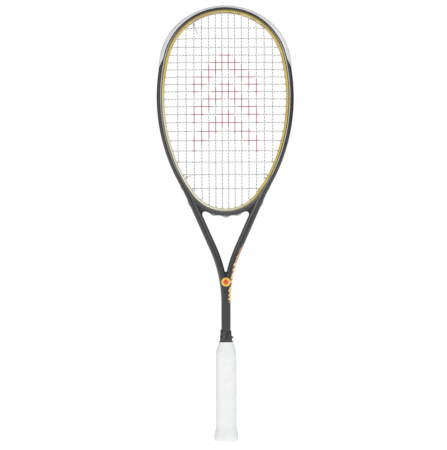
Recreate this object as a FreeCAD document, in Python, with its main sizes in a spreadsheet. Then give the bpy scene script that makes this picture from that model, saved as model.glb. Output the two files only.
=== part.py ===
"""A squash racket, standing on its butt end: +Z runs along the handle to the head,
the string plane is XZ, and the front face looks along -Y. Millimetres.

The frame is a closed loop of tube whose outer edge is a chain of tangent arcs. Everything
on the frame is placed by how far it lies inside that outer edge."""

import FreeCAD, Part
import math
import os

import Sketcher

Vector = FreeCAD.Vector

DIMENSIONS = [
    # The outer edge of one half, from the middle of the top down to the neck.
    ("overall_length", 686), ("top_radius", 105.5), ("top_sweep", 20),
    ("shoulder_radius", 100.5), ("shoulder_sweep", 56), ("flank_radius", 280.5),
    ("flank_sweep", 43), ("waist_radius", 350), ("waist_sweep", 5), ("neck_half", 7.35),
    ("neck_radius", 206), ("tail_bottom", 20), ("yoke_joint_height", 278), ("joint_lap", 1),
    # The frame tube's section: width lies in the string plane, depth across it.
    ("tube_width", 11.5), ("frame_depth", 19), ("tube_corner", 4.5), ("tube_wall", 1.3),
    ("cavity_width", 6.4), ("cavity_corner", 2.4),
    ("groove_depth", 2.8), ("groove_half", 2.9), ("groove_bottom", 350),
    # The bridge is a piece of a ring under the strings.
    ("bridge_radius", 60), ("bridge_centre", 427), ("bridge_reach", 58),
    ("blend_low", 392.6), ("blend_middle", 406), ("blend_high", 427.5), ("blend_bulge", 57.2),
    ("throat_fillet", 4.5), ("web_step", 1.6), ("web_reach", 5),
    ("bridge_groove_reach", 31), ("core_slack", 0.05),
    # The strings.
    ("string_diameter", 1.2), ("string_lift", 1.22), ("string_depth", 1.1),
    ("sharp_bend", 1.4), ("easy_bend", 60), ("mouth_stand", 0.8), ("weave_margin", 4.5),
    ("first_main", 5.0), ("main_pitch", 9.8), ("main_growth", 0.3),
    ("first_cross", 398.5), ("cross_pitch", 11.4), ("tightest_cross", 12.5),
    ("low_growth", 0.00543), ("high_growth", 0.056), ("track_offset", 1.8),
    # Grommets and bumper.
    ("hole_diameter", 3.2), ("barrel_diameter", 3.0), ("bore_diameter", 2.0), ("mouth_diameter", 2.7),
    ("barrel_tip", 1.2), ("strip_top", 1.9), ("strip_half", 2.8),
    ("mouth_depth", 0.6), ("barrel_root", 0.5), ("strip_gap", 0.1), ("overcut", 3),
    ("bumper_thickness", 3.9), ("bumper_bottom", 593), ("bumper_lap", 5),
    ("side_strip_bottom", 424),
    # The handle, measured over the grip, and the layers below it.
    ("grip_width", 32.5), ("grip_depth", 28.5), ("grip_corner", 10), ("wrap_wall", 2),
    ("underlay_wall", 0.6), ("flare_width", 38), ("flare_depth", 33.5), ("flare_corner", 12),
    ("butt_width", 28), ("butt_depth", 24), ("butt_corner", 8),
    ("lip_height", 2.5), ("lip_width", 36.6), ("lip_depth", 32.2),
    ("flare_low", 5), ("flare_high", 10), ("flare_end", 26), ("cap_floor", 4),
    ("cone_start", 140), ("cone_end", 157), ("cone_width", 22.5), ("cone_depth", 25.6),
    ("cone_corner", 7.2),
    ("plug_diameter", 14), ("plug_thickness", 1.6), ("plug_recess", 1.6),
    ("staple_height", 15), ("staple_span", 9), ("staple_wire", 1), ("staple_leg", 6),
    ("slip", 0.1), ("leg_slip", 0.06), ("tail_slack", 0.15),
    ("bung_height", 12),
    # The finishing tape at the top of the grip.
    ("tape_top", 176.4), ("tape_top_width", 16.7), ("tape_low_width", 18.9),
    ("tape_top_depth", 21.1), ("tape_low_depth", 23.2), ("tape_corner", 5.5),
    ("flap_reach", 12), ("flap_low", 162), ("flap_high", 169), ("flap_thickness", 0.6),
    ("flap_root", 0.4),
    # Decals.
    ("decal_thickness", 0.2), ("badge_height", 252), ("badge_width", 13.9),
    ("badge_length", 14), ("fleck_low", 219), ("fleck_high", 315), ("fleck_band", 2.8),
    # Tie-off knots.
    ("knot_gap", 0.06), ("knot_stand", 1.75), ("knot_pitch", 1.15), ("knot_lead", 0.7),
]

doc = FreeCAD.newDocument("SquashRacket")
sheet = doc.addObject("Spreadsheet::Sheet", "Dims")
for row, (alias, value) in enumerate(DIMENSIONS, start=1):
    sheet.set(f"A{row}", alias)
    sheet.set(f"B{row}", str(value))
    sheet.setAlias(f"B{row}", alias)
doc.recompute()

SIZE = {alias: float(sheet.get(alias)) for alias, _ in DIMENSIONS}
MAINS_PER_SIDE = 7
CROSSES = 19
WIDE = 400  # a block that is larger than the racket on every side


def point(x, z, y=0.0):
    return Vector(x, y, z)


def mirrored(shape):
    return shape.mirror(Vector(0, 0, 0), Vector(1, 0, 0))


# ---------------------------------------------------------------- the frame's outline


def outline_edges(inset):
    """The right half of the line that lies inset inside the outer edge, top to tail."""
    bends = [
        (SIZE["top_radius"], SIZE["top_sweep"]),
        (SIZE["shoulder_radius"], SIZE["shoulder_sweep"]),
        (SIZE["flank_radius"], SIZE["flank_sweep"]),
        (-SIZE["waist_radius"], SIZE["waist_sweep"]),
        (0, 0),
        (-SIZE["neck_radius"], None),
    ]
    at, heading, edges = point(0, SIZE["overall_length"] - inset), 0.0, []
    for radius, amount in bends:
        if radius == 0:
            # The straight shaft runs until the last arc ends at the neck's width.
            last = (SIZE["neck_radius"] + inset) * (1 - math.sin(heading))
            run = (at.x - (SIZE["neck_half"] - inset) - last) / -math.cos(heading)
            end = at + point(math.cos(heading), -math.sin(heading)) * run
            edges.append(Part.LineSegment(at, end).toShape())
        else:
            if amount is None:
                amount = math.degrees(heading) - 90
            side, reach = math.copysign(1, radius), abs(radius - inset)
            centre = at + point(-math.sin(heading), -math.cos(heading)) * (side * reach)
            turned = [heading + side * math.radians(amount) * part for part in (0.5, 1)]
            middle, end = [
                centre + point(math.sin(a), math.cos(a)) * (side * reach) for a in turned
            ]
            edges.append(Part.Arc(at, middle, end).toShape())
            heading = turned[1]
        at = end
    edges.append(Part.LineSegment(at, point(at.x, SIZE["tail_bottom"])).toShape())
    return edges


def section_wire(low, high, half_depth, corner):
    """A rounded section at the top of the head, from inset low to inset high."""
    top, bottom = SIZE["overall_length"] - low, SIZE["overall_length"] - high
    box = Part.makeBox(10, 2 * half_depth, top - bottom, point(0, bottom, -half_depth))
    if corner:
        box = box.makeFillet(corner, [e for e in box.Edges if abs(e.tangentAt(0).x) > 0.9])
    ends = [f for f in box.Faces if f.BoundBox.XLength < 1e-6 and abs(f.BoundBox.XMin) < 1e-6]
    return ends[0].OuterWire


def half_band(low, high, half_depth, corner=0):
    """The right half of the frame's loop with that section, swept from top to tail."""
    pipe = Part.BRepOffsetAPI.MakePipeShell(Part.Wire(outline_edges(low)))
    pipe.setBiNormalMode(Vector(0, 1, 0))
    pipe.add(section_wire(low, high, half_depth, corner))
    pipe.build()
    pipe.makeSolid()
    return pipe.shape()


def between(shape, bottom, top):
    """The part of a shape that lies between two heights."""
    block = Part.makeBox(WIDE, WIDE, top - bottom, Vector(-WIDE / 2, -WIDE / 2, bottom))
    return shape.common(block)


def loop(half):
    return half.fuse(mirrored(half)).removeSplitter()


OUTER_EDGE = Part.Wire(outline_edges(0))


def outward(tip):
    """The nearest point of the outer edge, for a tip on the right, and the way to it."""
    near = OUTER_EDGE.distToShape(Part.Vertex(tip))[1][0][0]
    return near, (near - tip).normalize()


# ---------------------------------------------------------------- where the strings go


def main_place(index):
    return SIZE["first_main"] + SIZE["main_pitch"] * index + SIZE["main_growth"] * index**2


def cross_places():
    """Heights of the crosses, closest together a little above the middle of the head."""
    heights = [SIZE["first_cross"]]
    for index in range(CROSSES - 1):
        below = max(0, SIZE["tightest_cross"] - index) ** 3 * SIZE["low_growth"]
        above = max(0, index - SIZE["tightest_cross"]) ** 3 * SIZE["high_growth"]
        heights.append(heights[-1] + SIZE["cross_pitch"] + below + above)
    return heights


MAINS = [main_place(index) for index in range(MAINS_PER_SIDE)]
CROSS_HEIGHTS = cross_places()
BRIDGE_MAINS = 3  # per side, from the middle: these leave through the bridge
TIP_INSET = SIZE["tube_width"] + SIZE["barrel_tip"]
RING_TIP = SIZE["bridge_radius"] - SIZE["barrel_tip"]
RING_OUTER = SIZE["bridge_radius"] + SIZE["tube_width"]
MIDDLE = SIZE["overall_length"] - SIZE["shoulder_radius"]


def ring_drop(radius, across):
    """Height of the bridge's ring of that radius, at a distance from the middle."""
    return SIZE["bridge_centre"] - math.sqrt(radius**2 - across**2)


def corner_blend(rise=0):
    """The arc that eases the bridge's upper edge into the hoop's inner edge, on the right."""
    low = point(math.sqrt(SIZE["bridge_radius"] ** 2 - (SIZE["bridge_centre"] - SIZE["blend_low"]) ** 2),
                SIZE["blend_low"])
    middle = point(SIZE["blend_bulge"], SIZE["blend_middle"])
    hoop_line = Part.Wire(outline_edges(SIZE["tube_width"])[:5])
    level = Part.LineSegment(point(0, SIZE["blend_high"]), point(WIDE, SIZE["blend_high"]))
    high = hoop_line.section(level.toShape()).Vertexes[0].Point
    shift = (high - low).normalize().cross(Vector(0, 1, 0)) * rise
    return Part.Arc(low + shift, middle + shift, high + shift).toShape()


def tip_curves():
    """The curves that the barrels end on, on the right half."""
    blend = corner_blend(SIZE["barrel_tip"])
    ring = Part.makeCircle(RING_TIP, point(0, SIZE["bridge_centre"]), Vector(0, 1, 0))
    below_blend = Part.makeBox(WIDE, 2, WIDE, Vector(0, -1, blend.Vertexes[0].Point.z - WIDE))
    hoop_line = Part.Wire(outline_edges(TIP_INSET)[:5])
    return Part.makeCompound([hoop_line, ring.common(below_blend), blend])


TIP_CURVES = tip_curves()


def meetings(start, end):
    """Where a straight line meets the curves that the barrels end on."""
    line = Part.LineSegment(start, end).toShape()
    return [vertex.Point for vertex in TIP_CURVES.section(line).Vertexes]


class Port:
    """One string hole: tip is the barrel's inner mouth, near the frame's outer edge."""

    def __init__(self, tip, track, straight_down=False):
        self.track = track * SIZE["track_offset"]
        self.bridge = straight_down
        self.tip = tip
        if straight_down:
            self.near = point(tip.x, ring_drop(RING_OUTER, tip.x))
            self.way = point(0, -1)
        else:
            self.near, self.way = outward(tip)

    def at(self, inset, side=1):
        """A point on the hole's axis, that far inside the outer edge."""
        place = self.near - self.way * inset
        return Vector(side * place.x, self.track, place.z)

    def mouth(self, side=1):
        """Where the string turns, just past the barrel's inner end."""
        place = self.tip - self.way * SIZE["mouth_stand"]
        return Vector(side * place.x, self.track, place.z)

    def rod(self, start, end, diameter):
        """A cylinder on the hole's axis; start and end are insets, None is the tip."""
        first = self.at(start)
        last = Vector(self.tip.x, self.track, self.tip.z) if end is None else self.at(end)
        return Part.makeCylinder(diameter / 2, (last - first).Length, first, last - first)

    def drill(self, diameter):
        """A cylinder on the hole's axis that runs out past both its ends."""
        over = SIZE["overcut"]
        length = (self.near - self.tip).Length + 2 * over
        return Part.makeCylinder(diameter / 2, length, self.at(-over), -self.way)


def main_ports():
    """The top and bottom port of each main of the right half."""
    pairs = []
    for index, across in enumerate(MAINS):
        top = meetings(point(across, MIDDLE), point(across, WIDE * 2))[0]
        low = max(meetings(point(across, 0), point(across, MIDDLE)), key=lambda end: end.z)
        bottom = Port(low, -1, straight_down=index < BRIDGE_MAINS)
        pairs.append((Port(top, -1), bottom))
    return pairs


def cross_ports():
    """The right-hand port of each cross, from the bottom up."""
    ports = []
    for height in CROSS_HEIGHTS:
        reach = min(meetings(point(0, height), point(WIDE, height)), key=lambda end: end.x).x
        ports.append(Port(point(reach, height), 1))
    return ports


MAIN_PORTS = main_ports()
CROSS_PORTS = cross_ports()
# The two ends of the string come back in beside a main, on the crosses' track.
TIE_TOP = Port(MAIN_PORTS[4][0].tip, 1)
TIE_LOW = Port(MAIN_PORTS[5][1].tip, 1)


def crossing_side(main, cross):
    """+1 where the main passes behind the cross (towards +Y), -1 where it passes in front."""
    return 1 if (main + cross) % 2 == 0 else -1


def easy(place):
    """A point of a cord's route that is rounded as widely as its two runs allow."""
    return place, SIZE["easy_bend"]


def sharp(place):
    """A point where the string turns tightly round a grommet's edge."""
    return place, SIZE["sharp_bend"]


def rounded_path(route):
    """Straight runs joined by tangent arcs, each up to its own largest radius."""
    points = [place for place, _ in route]
    edges, at = [], points[0]
    for before, (corner, largest), after in zip(points, route[1:], points[2:]):
        come, go = corner - before, after - corner
        shorter = min(come.Length, go.Length)
        come.normalize()
        go.normalize()
        half = come.getAngle(go) / 2
        if half < 1e-3:
            continue
        cut = min(0.45 * shorter, largest * math.tan(half))
        radius = cut / math.tan(half)
        inward = (go - come).normalize()
        middle = corner + inward * (radius / math.cos(half) - radius)
        start, end = corner - come * cut, corner + go * cut
        if (start - at).Length > 1e-6:
            edges.append(Part.LineSegment(at, start).toShape())
        edges.append(Part.Arc(start, middle, end).toShape())
        at = end
    edges.append(Part.LineSegment(at, points[-1]).toShape())
    return Part.Wire(edges)


def cord(route):
    """The string along that route, as one solid."""
    path = rounded_path(route)
    first = route[0][0]
    ring = Part.Wire(Part.makeCircle(SIZE["string_diameter"] / 2, first, route[1][0] - first))
    pipe = Part.BRepOffsetAPI.MakePipeShell(path)
    pipe.setFrenetMode(False)
    pipe.add(ring)
    pipe.build()
    pipe.makeSolid()
    solid = pipe.shape()
    section = math.pi * SIZE["string_diameter"] ** 2 / 4
    print(f"string of {path.Length:.0f} mm, volume / (section x length) = "
          f"{solid.Volume / (section * path.Length):.4f}")
    return solid


def groove_points(start, end, side, spacing=6):
    """Turns along the groove from one port to another, at the string's depth."""
    inset = SIZE["string_depth"]
    first, last = start.at(inset, side), end.at(inset, side)
    if start.bridge:
        count = max(2, round(abs(last.x - first.x) / spacing))
        steps = [first.x + (last.x - first.x) * i / count for i in range(1, count)]
        return [easy(point(x, ring_drop(RING_OUTER - inset, x), start.track)) for x in steps]
    edge = Part.Wire(outline_edges(inset)[:6])
    length = (last - first).Length
    count = max(2, round(length / spacing))
    points = []
    for i in range(1, count):
        guess = first + (last - first) * (i / count)
        near = edge.distToShape(Part.Vertex(point(abs(guess.x), guess.z)))[1][0][0]
        points.append(easy(Vector(side * near.x, guess.y, near.z)))
    return points


def inside(main, number):
    """Whether a main and a cross meet inside the head, clear of their grommets."""
    top, bottom = MAIN_PORTS[main]
    margin = SIZE["weave_margin"]
    across = MAINS[main] < CROSS_PORTS[number].tip.x - margin
    return across and bottom.tip.z + margin < CROSS_HEIGHTS[number] < top.tip.z - margin


def half_index(signed):
    """The main's number on its own half, for mains numbered from -7 to 6."""
    return signed if signed >= 0 else -signed - 1


def main_run(signed, upward):
    """A main from groove to groove, over and under the crosses."""
    side, index = (-1 if signed < 0 else 1), half_index(signed)
    top, bottom = MAIN_PORTS[index]
    depth = SIZE["string_depth"]
    route = [sharp(bottom.at(depth, side)), sharp(bottom.mouth(side))]
    for number, height in enumerate(CROSS_HEIGHTS):
        if inside(index, number):
            lift = crossing_side(signed, number) * SIZE["string_lift"]
            route.append(easy(point(side * MAINS[index], height, lift)))
    route += [sharp(top.mouth(side)), sharp(top.at(depth, side))]
    return route if upward else route[::-1]


def cross_run(number, rightward):
    """A cross from groove to groove, under and over the mains."""
    port, height = CROSS_PORTS[number], CROSS_HEIGHTS[number]
    depth = SIZE["string_depth"]
    route = [sharp(port.at(depth, -1)), sharp(port.mouth(-1))]
    for signed in range(-MAINS_PER_SIDE, MAINS_PER_SIDE):
        index = half_index(signed)
        if inside(index, number):
            lift = -crossing_side(signed, number) * SIZE["string_lift"]
            route.append(easy(point(math.copysign(MAINS[index], signed + 0.5), height, lift)))
    route += [sharp(port.mouth(1)), sharp(port.at(depth, 1))]
    return route if rightward else route[::-1]


def tie_route(start, end, side):
    """From one port to another along the middle of the groove, clear of both tracks."""
    route = groove_points(start, end, side, spacing=5)
    return [easy(point(place.x, place.z)) for place, _ in route]


# The one length of string is built as two solids, which meet in the groove at the top right.
SEAM_ROUTE = tie_route(MAIN_PORTS[-1][0], CROSS_PORTS[-1], 1)
SEAM = easy((SEAM_ROUTE[0][0] + SEAM_ROUTE[1][0]) * 0.5)


def main_string_route():
    """From the knot at the top left, down and up through every main, to the top right."""
    depth = SIZE["string_depth"]
    route = [sharp(TIE_TOP.mouth(-1)), sharp(TIE_TOP.at(depth, -1))]
    route += tie_route(TIE_TOP, MAIN_PORTS[-1][0], -1)
    for signed in range(-MAINS_PER_SIDE, MAINS_PER_SIDE):
        upward = (signed + MAINS_PER_SIDE) % 2 == 1
        route += main_run(signed, upward)
        port = MAIN_PORTS[half_index(signed)][0 if upward else 1]
        if signed == -1:
            route.append(easy(point(0, ring_drop(RING_OUTER - depth, 0), port.track)))
        elif signed < MAINS_PER_SIDE - 1:
            following = MAIN_PORTS[half_index(signed + 1)][0 if upward else 1]
            route += groove_points(port, following, -1 if signed < 0 else 1)
    return route + [SEAM_ROUTE[0], SEAM]


def cross_string_route():
    """From the top right, to and fro down every cross, to the knot at the bottom left."""
    route, rightward = [SEAM] + SEAM_ROUTE[1:], False
    for number in reversed(range(CROSSES)):
        route += cross_run(number, rightward)
        if number:
            side = 1 if rightward else -1
            route += groove_points(CROSS_PORTS[number], CROSS_PORTS[number - 1], side)
        rightward = not rightward
    route += groove_points(CROSS_PORTS[0], TIE_LOW, -1)
    return route + [sharp(TIE_LOW.at(SIZE["string_depth"], -1)), sharp(TIE_LOW.mouth(-1))]


# ---------------------------------------------------------------- the frame

HALF_DEPTH = SIZE["frame_depth"] / 2
HOOP_PORTS = [port for pair in MAIN_PORTS for port in pair if not port.bridge]
HOOP_PORTS += CROSS_PORTS
BRIDGE_PORTS = [pair[1] for pair in MAIN_PORTS if pair[1].bridge]
OUTER_HALF = half_band(0, SIZE["tube_width"], HALF_DEPTH, SIZE["tube_corner"])
OUTER_SOLID = loop(OUTER_HALF)


def both_sides(shapes):
    return list(shapes) + [mirrored(shape) for shape in shapes]


def drills():
    """A cylinder for every string hole; the two tie-off holes are on the left only."""
    size = SIZE["hole_diameter"]
    rods = both_sides([port.drill(size) for port in HOOP_PORTS + BRIDGE_PORTS])
    return rods + [mirrored(port.drill(size)) for port in (TIE_TOP, TIE_LOW)]


DRILLS = drills()


def ring_piece(low, high, half_depth, corner=0, reach=None):
    """A piece of a ring about the bridge's centre, between two radii."""
    reach = SIZE["bridge_reach"] if reach is None else reach
    box = Part.makeBox(10, 2 * half_depth, high - low, Vector(0, -half_depth, -high))
    if corner:
        box = box.makeFillet(corner, [e for e in box.Edges if abs(e.tangentAt(0).x) > 0.9])
    face = [f for f in box.Faces if f.BoundBox.XLength < 1e-6 and f.BoundBox.XMin < 1e-6][0]
    face.rotate(Vector(0, 0, 0), Vector(0, 1, 0), reach)
    piece = face.revolve(Vector(0, 0, 0), Vector(0, 1, 0), -2 * reach)
    piece.translate(point(0, SIZE["bridge_centre"]))
    return piece


def hoop_tube():
    """The hairpin tube, hollow, grooved outside, rebated for the bumper and drilled."""
    top = SIZE["overall_length"] + 1
    bumper_low, joint = SIZE["bumper_bottom"], SIZE["yoke_joint_height"]
    wall = SIZE["tube_wall"]
    inner = SIZE["tube_width"] - wall
    half_cavity = HALF_DEPTH - wall
    tube = between(OUTER_SOLID, joint, top)
    wide = between(
        loop(half_band(inner - SIZE["cavity_width"], inner, half_cavity, SIZE["cavity_corner"])),
        joint - SIZE["joint_lap"], bumper_low - SIZE["bumper_lap"],
    )
    shallow = SIZE["bumper_thickness"] + wall
    narrow = loop(half_band(shallow, inner, half_cavity, SIZE["cavity_corner"]))
    narrow = between(narrow, joint - SIZE["joint_lap"], top)
    groove = between(loop(half_band(-1, SIZE["groove_depth"], SIZE["groove_half"])),
                     SIZE["groove_bottom"], top)
    rebate = between(loop(half_band(-1, SIZE["bumper_thickness"], HALF_DEPTH + 1)),
                     bumper_low, top)
    return tube.cut([wide, narrow, groove, rebate] + DRILLS)


def lowest_meeting(rise):
    """Where the shaft's inner line and the ring's outer line meet, both moved by rise."""
    shaft_line = Part.Wire(outline_edges(SIZE["tube_width"] + rise)[:5])
    middle = point(0, SIZE["bridge_centre"])
    ring = Part.makeCircle(RING_OUTER + rise, middle, Vector(0, 1, 0))
    return min([v.Point for v in shaft_line.section(ring).Vertexes], key=lambda spot: spot.z)


def web_block(outline):
    """A plate of that outline, a step thinner than the frame on both faces."""
    half_web = HALF_DEPTH - SIZE["web_step"]
    block = Part.Face(outline).extrude(Vector(0, 2 * half_web, 0))
    block.translate(Vector(0, -half_web, 0))
    return block


def throat_fillets():
    """The rounded upper corners of the throat opening, which belong to the bridge."""
    radius, bury = SIZE["throat_fillet"], SIZE["tube_width"] / 4
    centre = lowest_meeting(radius)
    _, way = outward(centre)
    up = (point(0, SIZE["bridge_centre"]) - centre).normalize()
    corner = lowest_meeting(0)
    deep = corner + (corner - centre).normalize() * (2 * bury)
    rim = [centre + way * radius, centre + way * (radius + bury), deep,
           centre + up * (radius + bury), centre + up * radius, centre]
    hole = Part.makeCylinder(radius, 2 * HALF_DEPTH, centre - Vector(0, HALF_DEPTH, 0), Vector(0, 1, 0))
    return both_sides([web_block(Part.makePolygon(rim + rim[:1])).cut(hole)])


def corner_webs():
    """Fills between the ring's ends and the hoop, under the blend arcs."""
    arc = corner_blend()
    low, high = arc.Vertexes[0].Point, arc.Vertexes[1].Point
    back = point(high.x - SIZE["web_reach"], low.z + 2 * SIZE["web_reach"])
    sides = [Part.LineSegment(high, back).toShape(), Part.LineSegment(back, low).toShape()]
    return both_sides([web_block(Part.Wire([arc] + sides))])


def bridge_solid():
    """The bridge without its groove, core or holes, coped to the tube."""
    ring = ring_piece(SIZE["bridge_radius"], RING_OUTER, HALF_DEPTH, SIZE["tube_corner"])
    return ring.fuse(throat_fillets() + corner_webs()).cut(OUTER_SOLID)


def core_ring(slack):
    wall = SIZE["tube_wall"] + slack
    low = SIZE["bridge_radius"] + wall
    high = RING_OUTER - SIZE["groove_depth"] - wall
    return ring_piece(low, high, HALF_DEPTH - wall, SIZE["cavity_corner"] - slack)


def bridge_groove(low, high, half_width):
    """A box-shaped channel or strip along the bridge's underside, by inset."""
    ring = ring_piece(RING_OUTER - high, RING_OUTER - low, half_width)
    reach = SIZE["bridge_groove_reach"]
    below = Vector(-reach, -WIDE / 2, SIZE["bridge_centre"] - WIDE)
    return ring.common(Part.makeBox(2 * reach, WIDE, WIDE, below))


def throat_bridge():
    groove = bridge_groove(-1, SIZE["groove_depth"], SIZE["groove_half"])
    return bridge_solid().cut([core_ring(0), groove] + DRILLS)


def bridge_core():
    return core_ring(SIZE["core_slack"]).cut([OUTER_SOLID] + DRILLS)


def neck_yoke():
    """Where the two shafts run together, and the tail that the handle is moulded on."""
    joint, bottom = SIZE["yoke_joint_height"], SIZE["tail_bottom"]
    wall = SIZE["tube_wall"]
    inside = loop(half_band(wall, SIZE["tube_width"] - wall, HALF_DEPTH - wall,
                            SIZE["tube_corner"] - wall))
    return between(OUTER_SOLID, bottom, joint).cut(inside)


# ---------------------------------------------------------------- grommets and bumper


def barrels(ports, mirror):
    """Barrels from the strip to just past the inner face, each with its bore to cut."""
    top, depth = SIZE["strip_top"], SIZE["mouth_depth"]
    rods = [port.rod(top + SIZE["barrel_root"], None, SIZE["barrel_diameter"]) for port in ports]
    bores = [port.drill(SIZE["bore_diameter"]) for port in ports]
    bores += [port.rod(top - depth, top + depth, SIZE["mouth_diameter"]) for port in ports]
    if mirror:
        rods, bores = [mirrored(rod) for rod in rods], [mirrored(bore) for bore in bores]
    return rods, bores


def strip_zone(low_inset, high_inset, half_width, bottom, top, side):
    """One side's strip in the groove, between two heights."""
    strip = between(half_band(low_inset, high_inset, half_width), bottom, top)
    return mirrored(strip) if side < 0 else strip


def ports_between(bottom, top, extra=()):
    return [port for port in HOOP_PORTS + list(extra) if bottom <= port.near.z < top]


def side_grommets(side, bottom, top):
    extra = [TIE_TOP, TIE_LOW] if side < 0 else []
    rods, bores = barrels(ports_between(bottom, top, extra), side < 0)
    strip = strip_zone(SIZE["strip_top"], SIZE["groove_depth"], SIZE["strip_half"],
                       bottom, top, side)
    return strip.fuse(rods).cut(bores)


def bumper_guard():
    """The guard round the top: it fills the rebate, carries the string and the top barrels."""
    bottom, top = SIZE["bumper_bottom"], SIZE["overall_length"] + 1
    rebate = loop(half_band(-1, SIZE["bumper_thickness"], HALF_DEPTH + 1))
    band = between(OUTER_SOLID, bottom + SIZE["strip_gap"], top).common(rebate)
    channel = between(loop(half_band(-1, SIZE["strip_top"], SIZE["strip_half"])), bottom, top)
    right, right_bores = barrels(ports_between(bottom, top), False)
    left, left_bores = barrels(ports_between(bottom, top, [TIE_TOP]), True)
    return band.cut(channel).fuse(right + left).cut(right_bores + left_bores)


def throat_grommets():
    """The strip under the bridge with the barrels of the middle mains."""
    strip = bridge_groove(SIZE["strip_top"], SIZE["groove_depth"], SIZE["strip_half"])
    rods, bores = barrels(BRIDGE_PORTS, False)
    return strip.fuse(both_sides(rods)).cut(both_sides(bores))


# ---------------------------------------------------------------- document objects


def finish_shape(shape):
    """The largest solid of a boolean's result, refined."""
    return max(shape.removeSplitter().Solids, key=lambda solid: solid.Volume)


def add_feature(label, shape):
    """A sub-part whose shape comes from the sweeps above."""
    feature = doc.addObject("Part::Feature", label)
    feature.Label = label
    feature.Shape = shape
    feature.Placement = FreeCAD.Placement()
    return feature


def new_body(label):
    body = doc.addObject("PartDesign::Body", label)
    body.Label = label
    body.Placement = FreeCAD.Placement()
    return body


def origin_plane(body, role):
    return next(o for o in body.Origin.OriginFeatures if o.Role == role)


def new_sketch(body, name, role, offset=None):
    """A sketch on one of the body's origin planes, lifted by an expression."""
    sketch = body.newObject("Sketcher::SketchObject", name)
    sketch.AttachmentSupport = [(origin_plane(body, role), "")]
    sketch.MapMode = "FlatFace"
    if offset:
        sketch.setExpression(".AttachmentOffset.Base.z", offset)
    return sketch


def bind(sketch, constraint, name, expression):
    index = sketch.addConstraint(constraint)
    sketch.renameConstraint(index, name)
    sketch.setExpression(f"Constraints.{name}", expression)


def rounded_sketch(body, name, height, width, depth, corner):
    """A rounded rectangle about the handle's axis, at a height; all four are expressions."""
    sketch = new_sketch(body, name, "XY_Plane", height)
    half, deep, bend = 14.0, 12.0, 4.0
    across, along = half - bend, deep - bend
    runs = [((-across, -deep), (across, -deep)), ((half, -along), (half, along)),
            ((across, deep), (-across, deep)), ((-half, along), (-half, -along))]
    centres = [(across, -along), (across, along), (-across, along), (-across, -along)]
    for start, end in runs:
        sketch.addGeometry(Part.LineSegment(Vector(*start, 0), Vector(*end, 0)))
    for quarter, centre in enumerate(centres):
        circle = Part.Circle(Vector(*centre, 0), Vector(0, 0, 1), bend)
        first = (quarter - 1) * math.pi / 2
        sketch.addGeometry(Part.ArcOfCircle(circle, first, first + math.pi / 2))
    for quarter in range(4):
        sketch.addConstraint(Sketcher.Constraint("Tangent", quarter, 2, 4 + quarter, 1))
        sketch.addConstraint(Sketcher.Constraint("Tangent", 4 + quarter, 2, (quarter + 1) % 4, 1))
    for line, kind in ((0, "Horizontal"), (1, "Vertical"), (2, "Horizontal"), (3, "Vertical")):
        sketch.addConstraint(Sketcher.Constraint(kind, line))
    for arc in (5, 6, 7):
        sketch.addConstraint(Sketcher.Constraint("Equal", 4, arc))
    sketch.addConstraint(Sketcher.Constraint("Symmetric", 4, 3, 6, 3, -1, 1))
    bind(sketch, Sketcher.Constraint("Radius", 4, bend), "corner", corner)
    bind(sketch, Sketcher.Constraint("DistanceX", 3, 1, 1, 1, 2 * half), "width", width)
    bind(sketch, Sketcher.Constraint("DistanceY", 0, 1, 2, 1, 2 * deep), "depth", depth)
    return sketch


def circle_sketch(body, name, role, offset, diameter):
    sketch = new_sketch(body, name, role, offset)
    sketch.addGeometry(Part.Circle(Vector(0, 0, 0), Vector(0, 0, 1), 5))
    sketch.addConstraint(Sketcher.Constraint("Coincident", 0, 3, -1, 1))
    bind(sketch, Sketcher.Constraint("Diameter", 0, 10), "diameter", diameter)
    return sketch


def loft(body, kind, name, sections):
    """A ruled loft through rounded sections given as (height, width, depth, corner)."""
    sketches = [rounded_sketch(body, f"{name}Section{i}", *section)
                for i, section in enumerate(sections)]
    feature = body.newObject(f"PartDesign::{kind}", name)
    feature.Profile = sketches[0]
    feature.Sections = sketches[1:]
    feature.Ruled = True
    body.Tip = feature
    return feature


def layer(stations, inside):
    """Sections that lie the length inside within the grip's surface."""
    return [(height, f"{width} - 2 * ({inside})", f"{depth} - 2 * ({inside})",
             f"{corner} - ({inside})") for height, width, depth, corner in stations]


# The grip's surface, from the butt up: (height, width, depth, corner).
LIP = ("Dims.lip_height", "Dims.lip_width", "Dims.lip_depth", "Dims.flare_corner")
FLARE = [(height, "Dims.flare_width", "Dims.flare_depth", "Dims.flare_corner")
         for height in ("Dims.flare_low", "Dims.flare_high")]
BARE = ("Dims.grip_width", "Dims.grip_depth", "Dims.grip_corner")
FLARE_END, CONE_START = ("Dims.flare_end", *BARE), ("Dims.cone_start", *BARE)
CONE_END = ("Dims.cone_end", "Dims.cone_width", "Dims.cone_depth", "Dims.cone_corner")
FOAM_INSET = "Dims.wrap_wall + Dims.underlay_wall"
TAIL = ("2 * Dims.neck_half", "Dims.frame_depth", "Dims.tube_corner")


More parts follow.
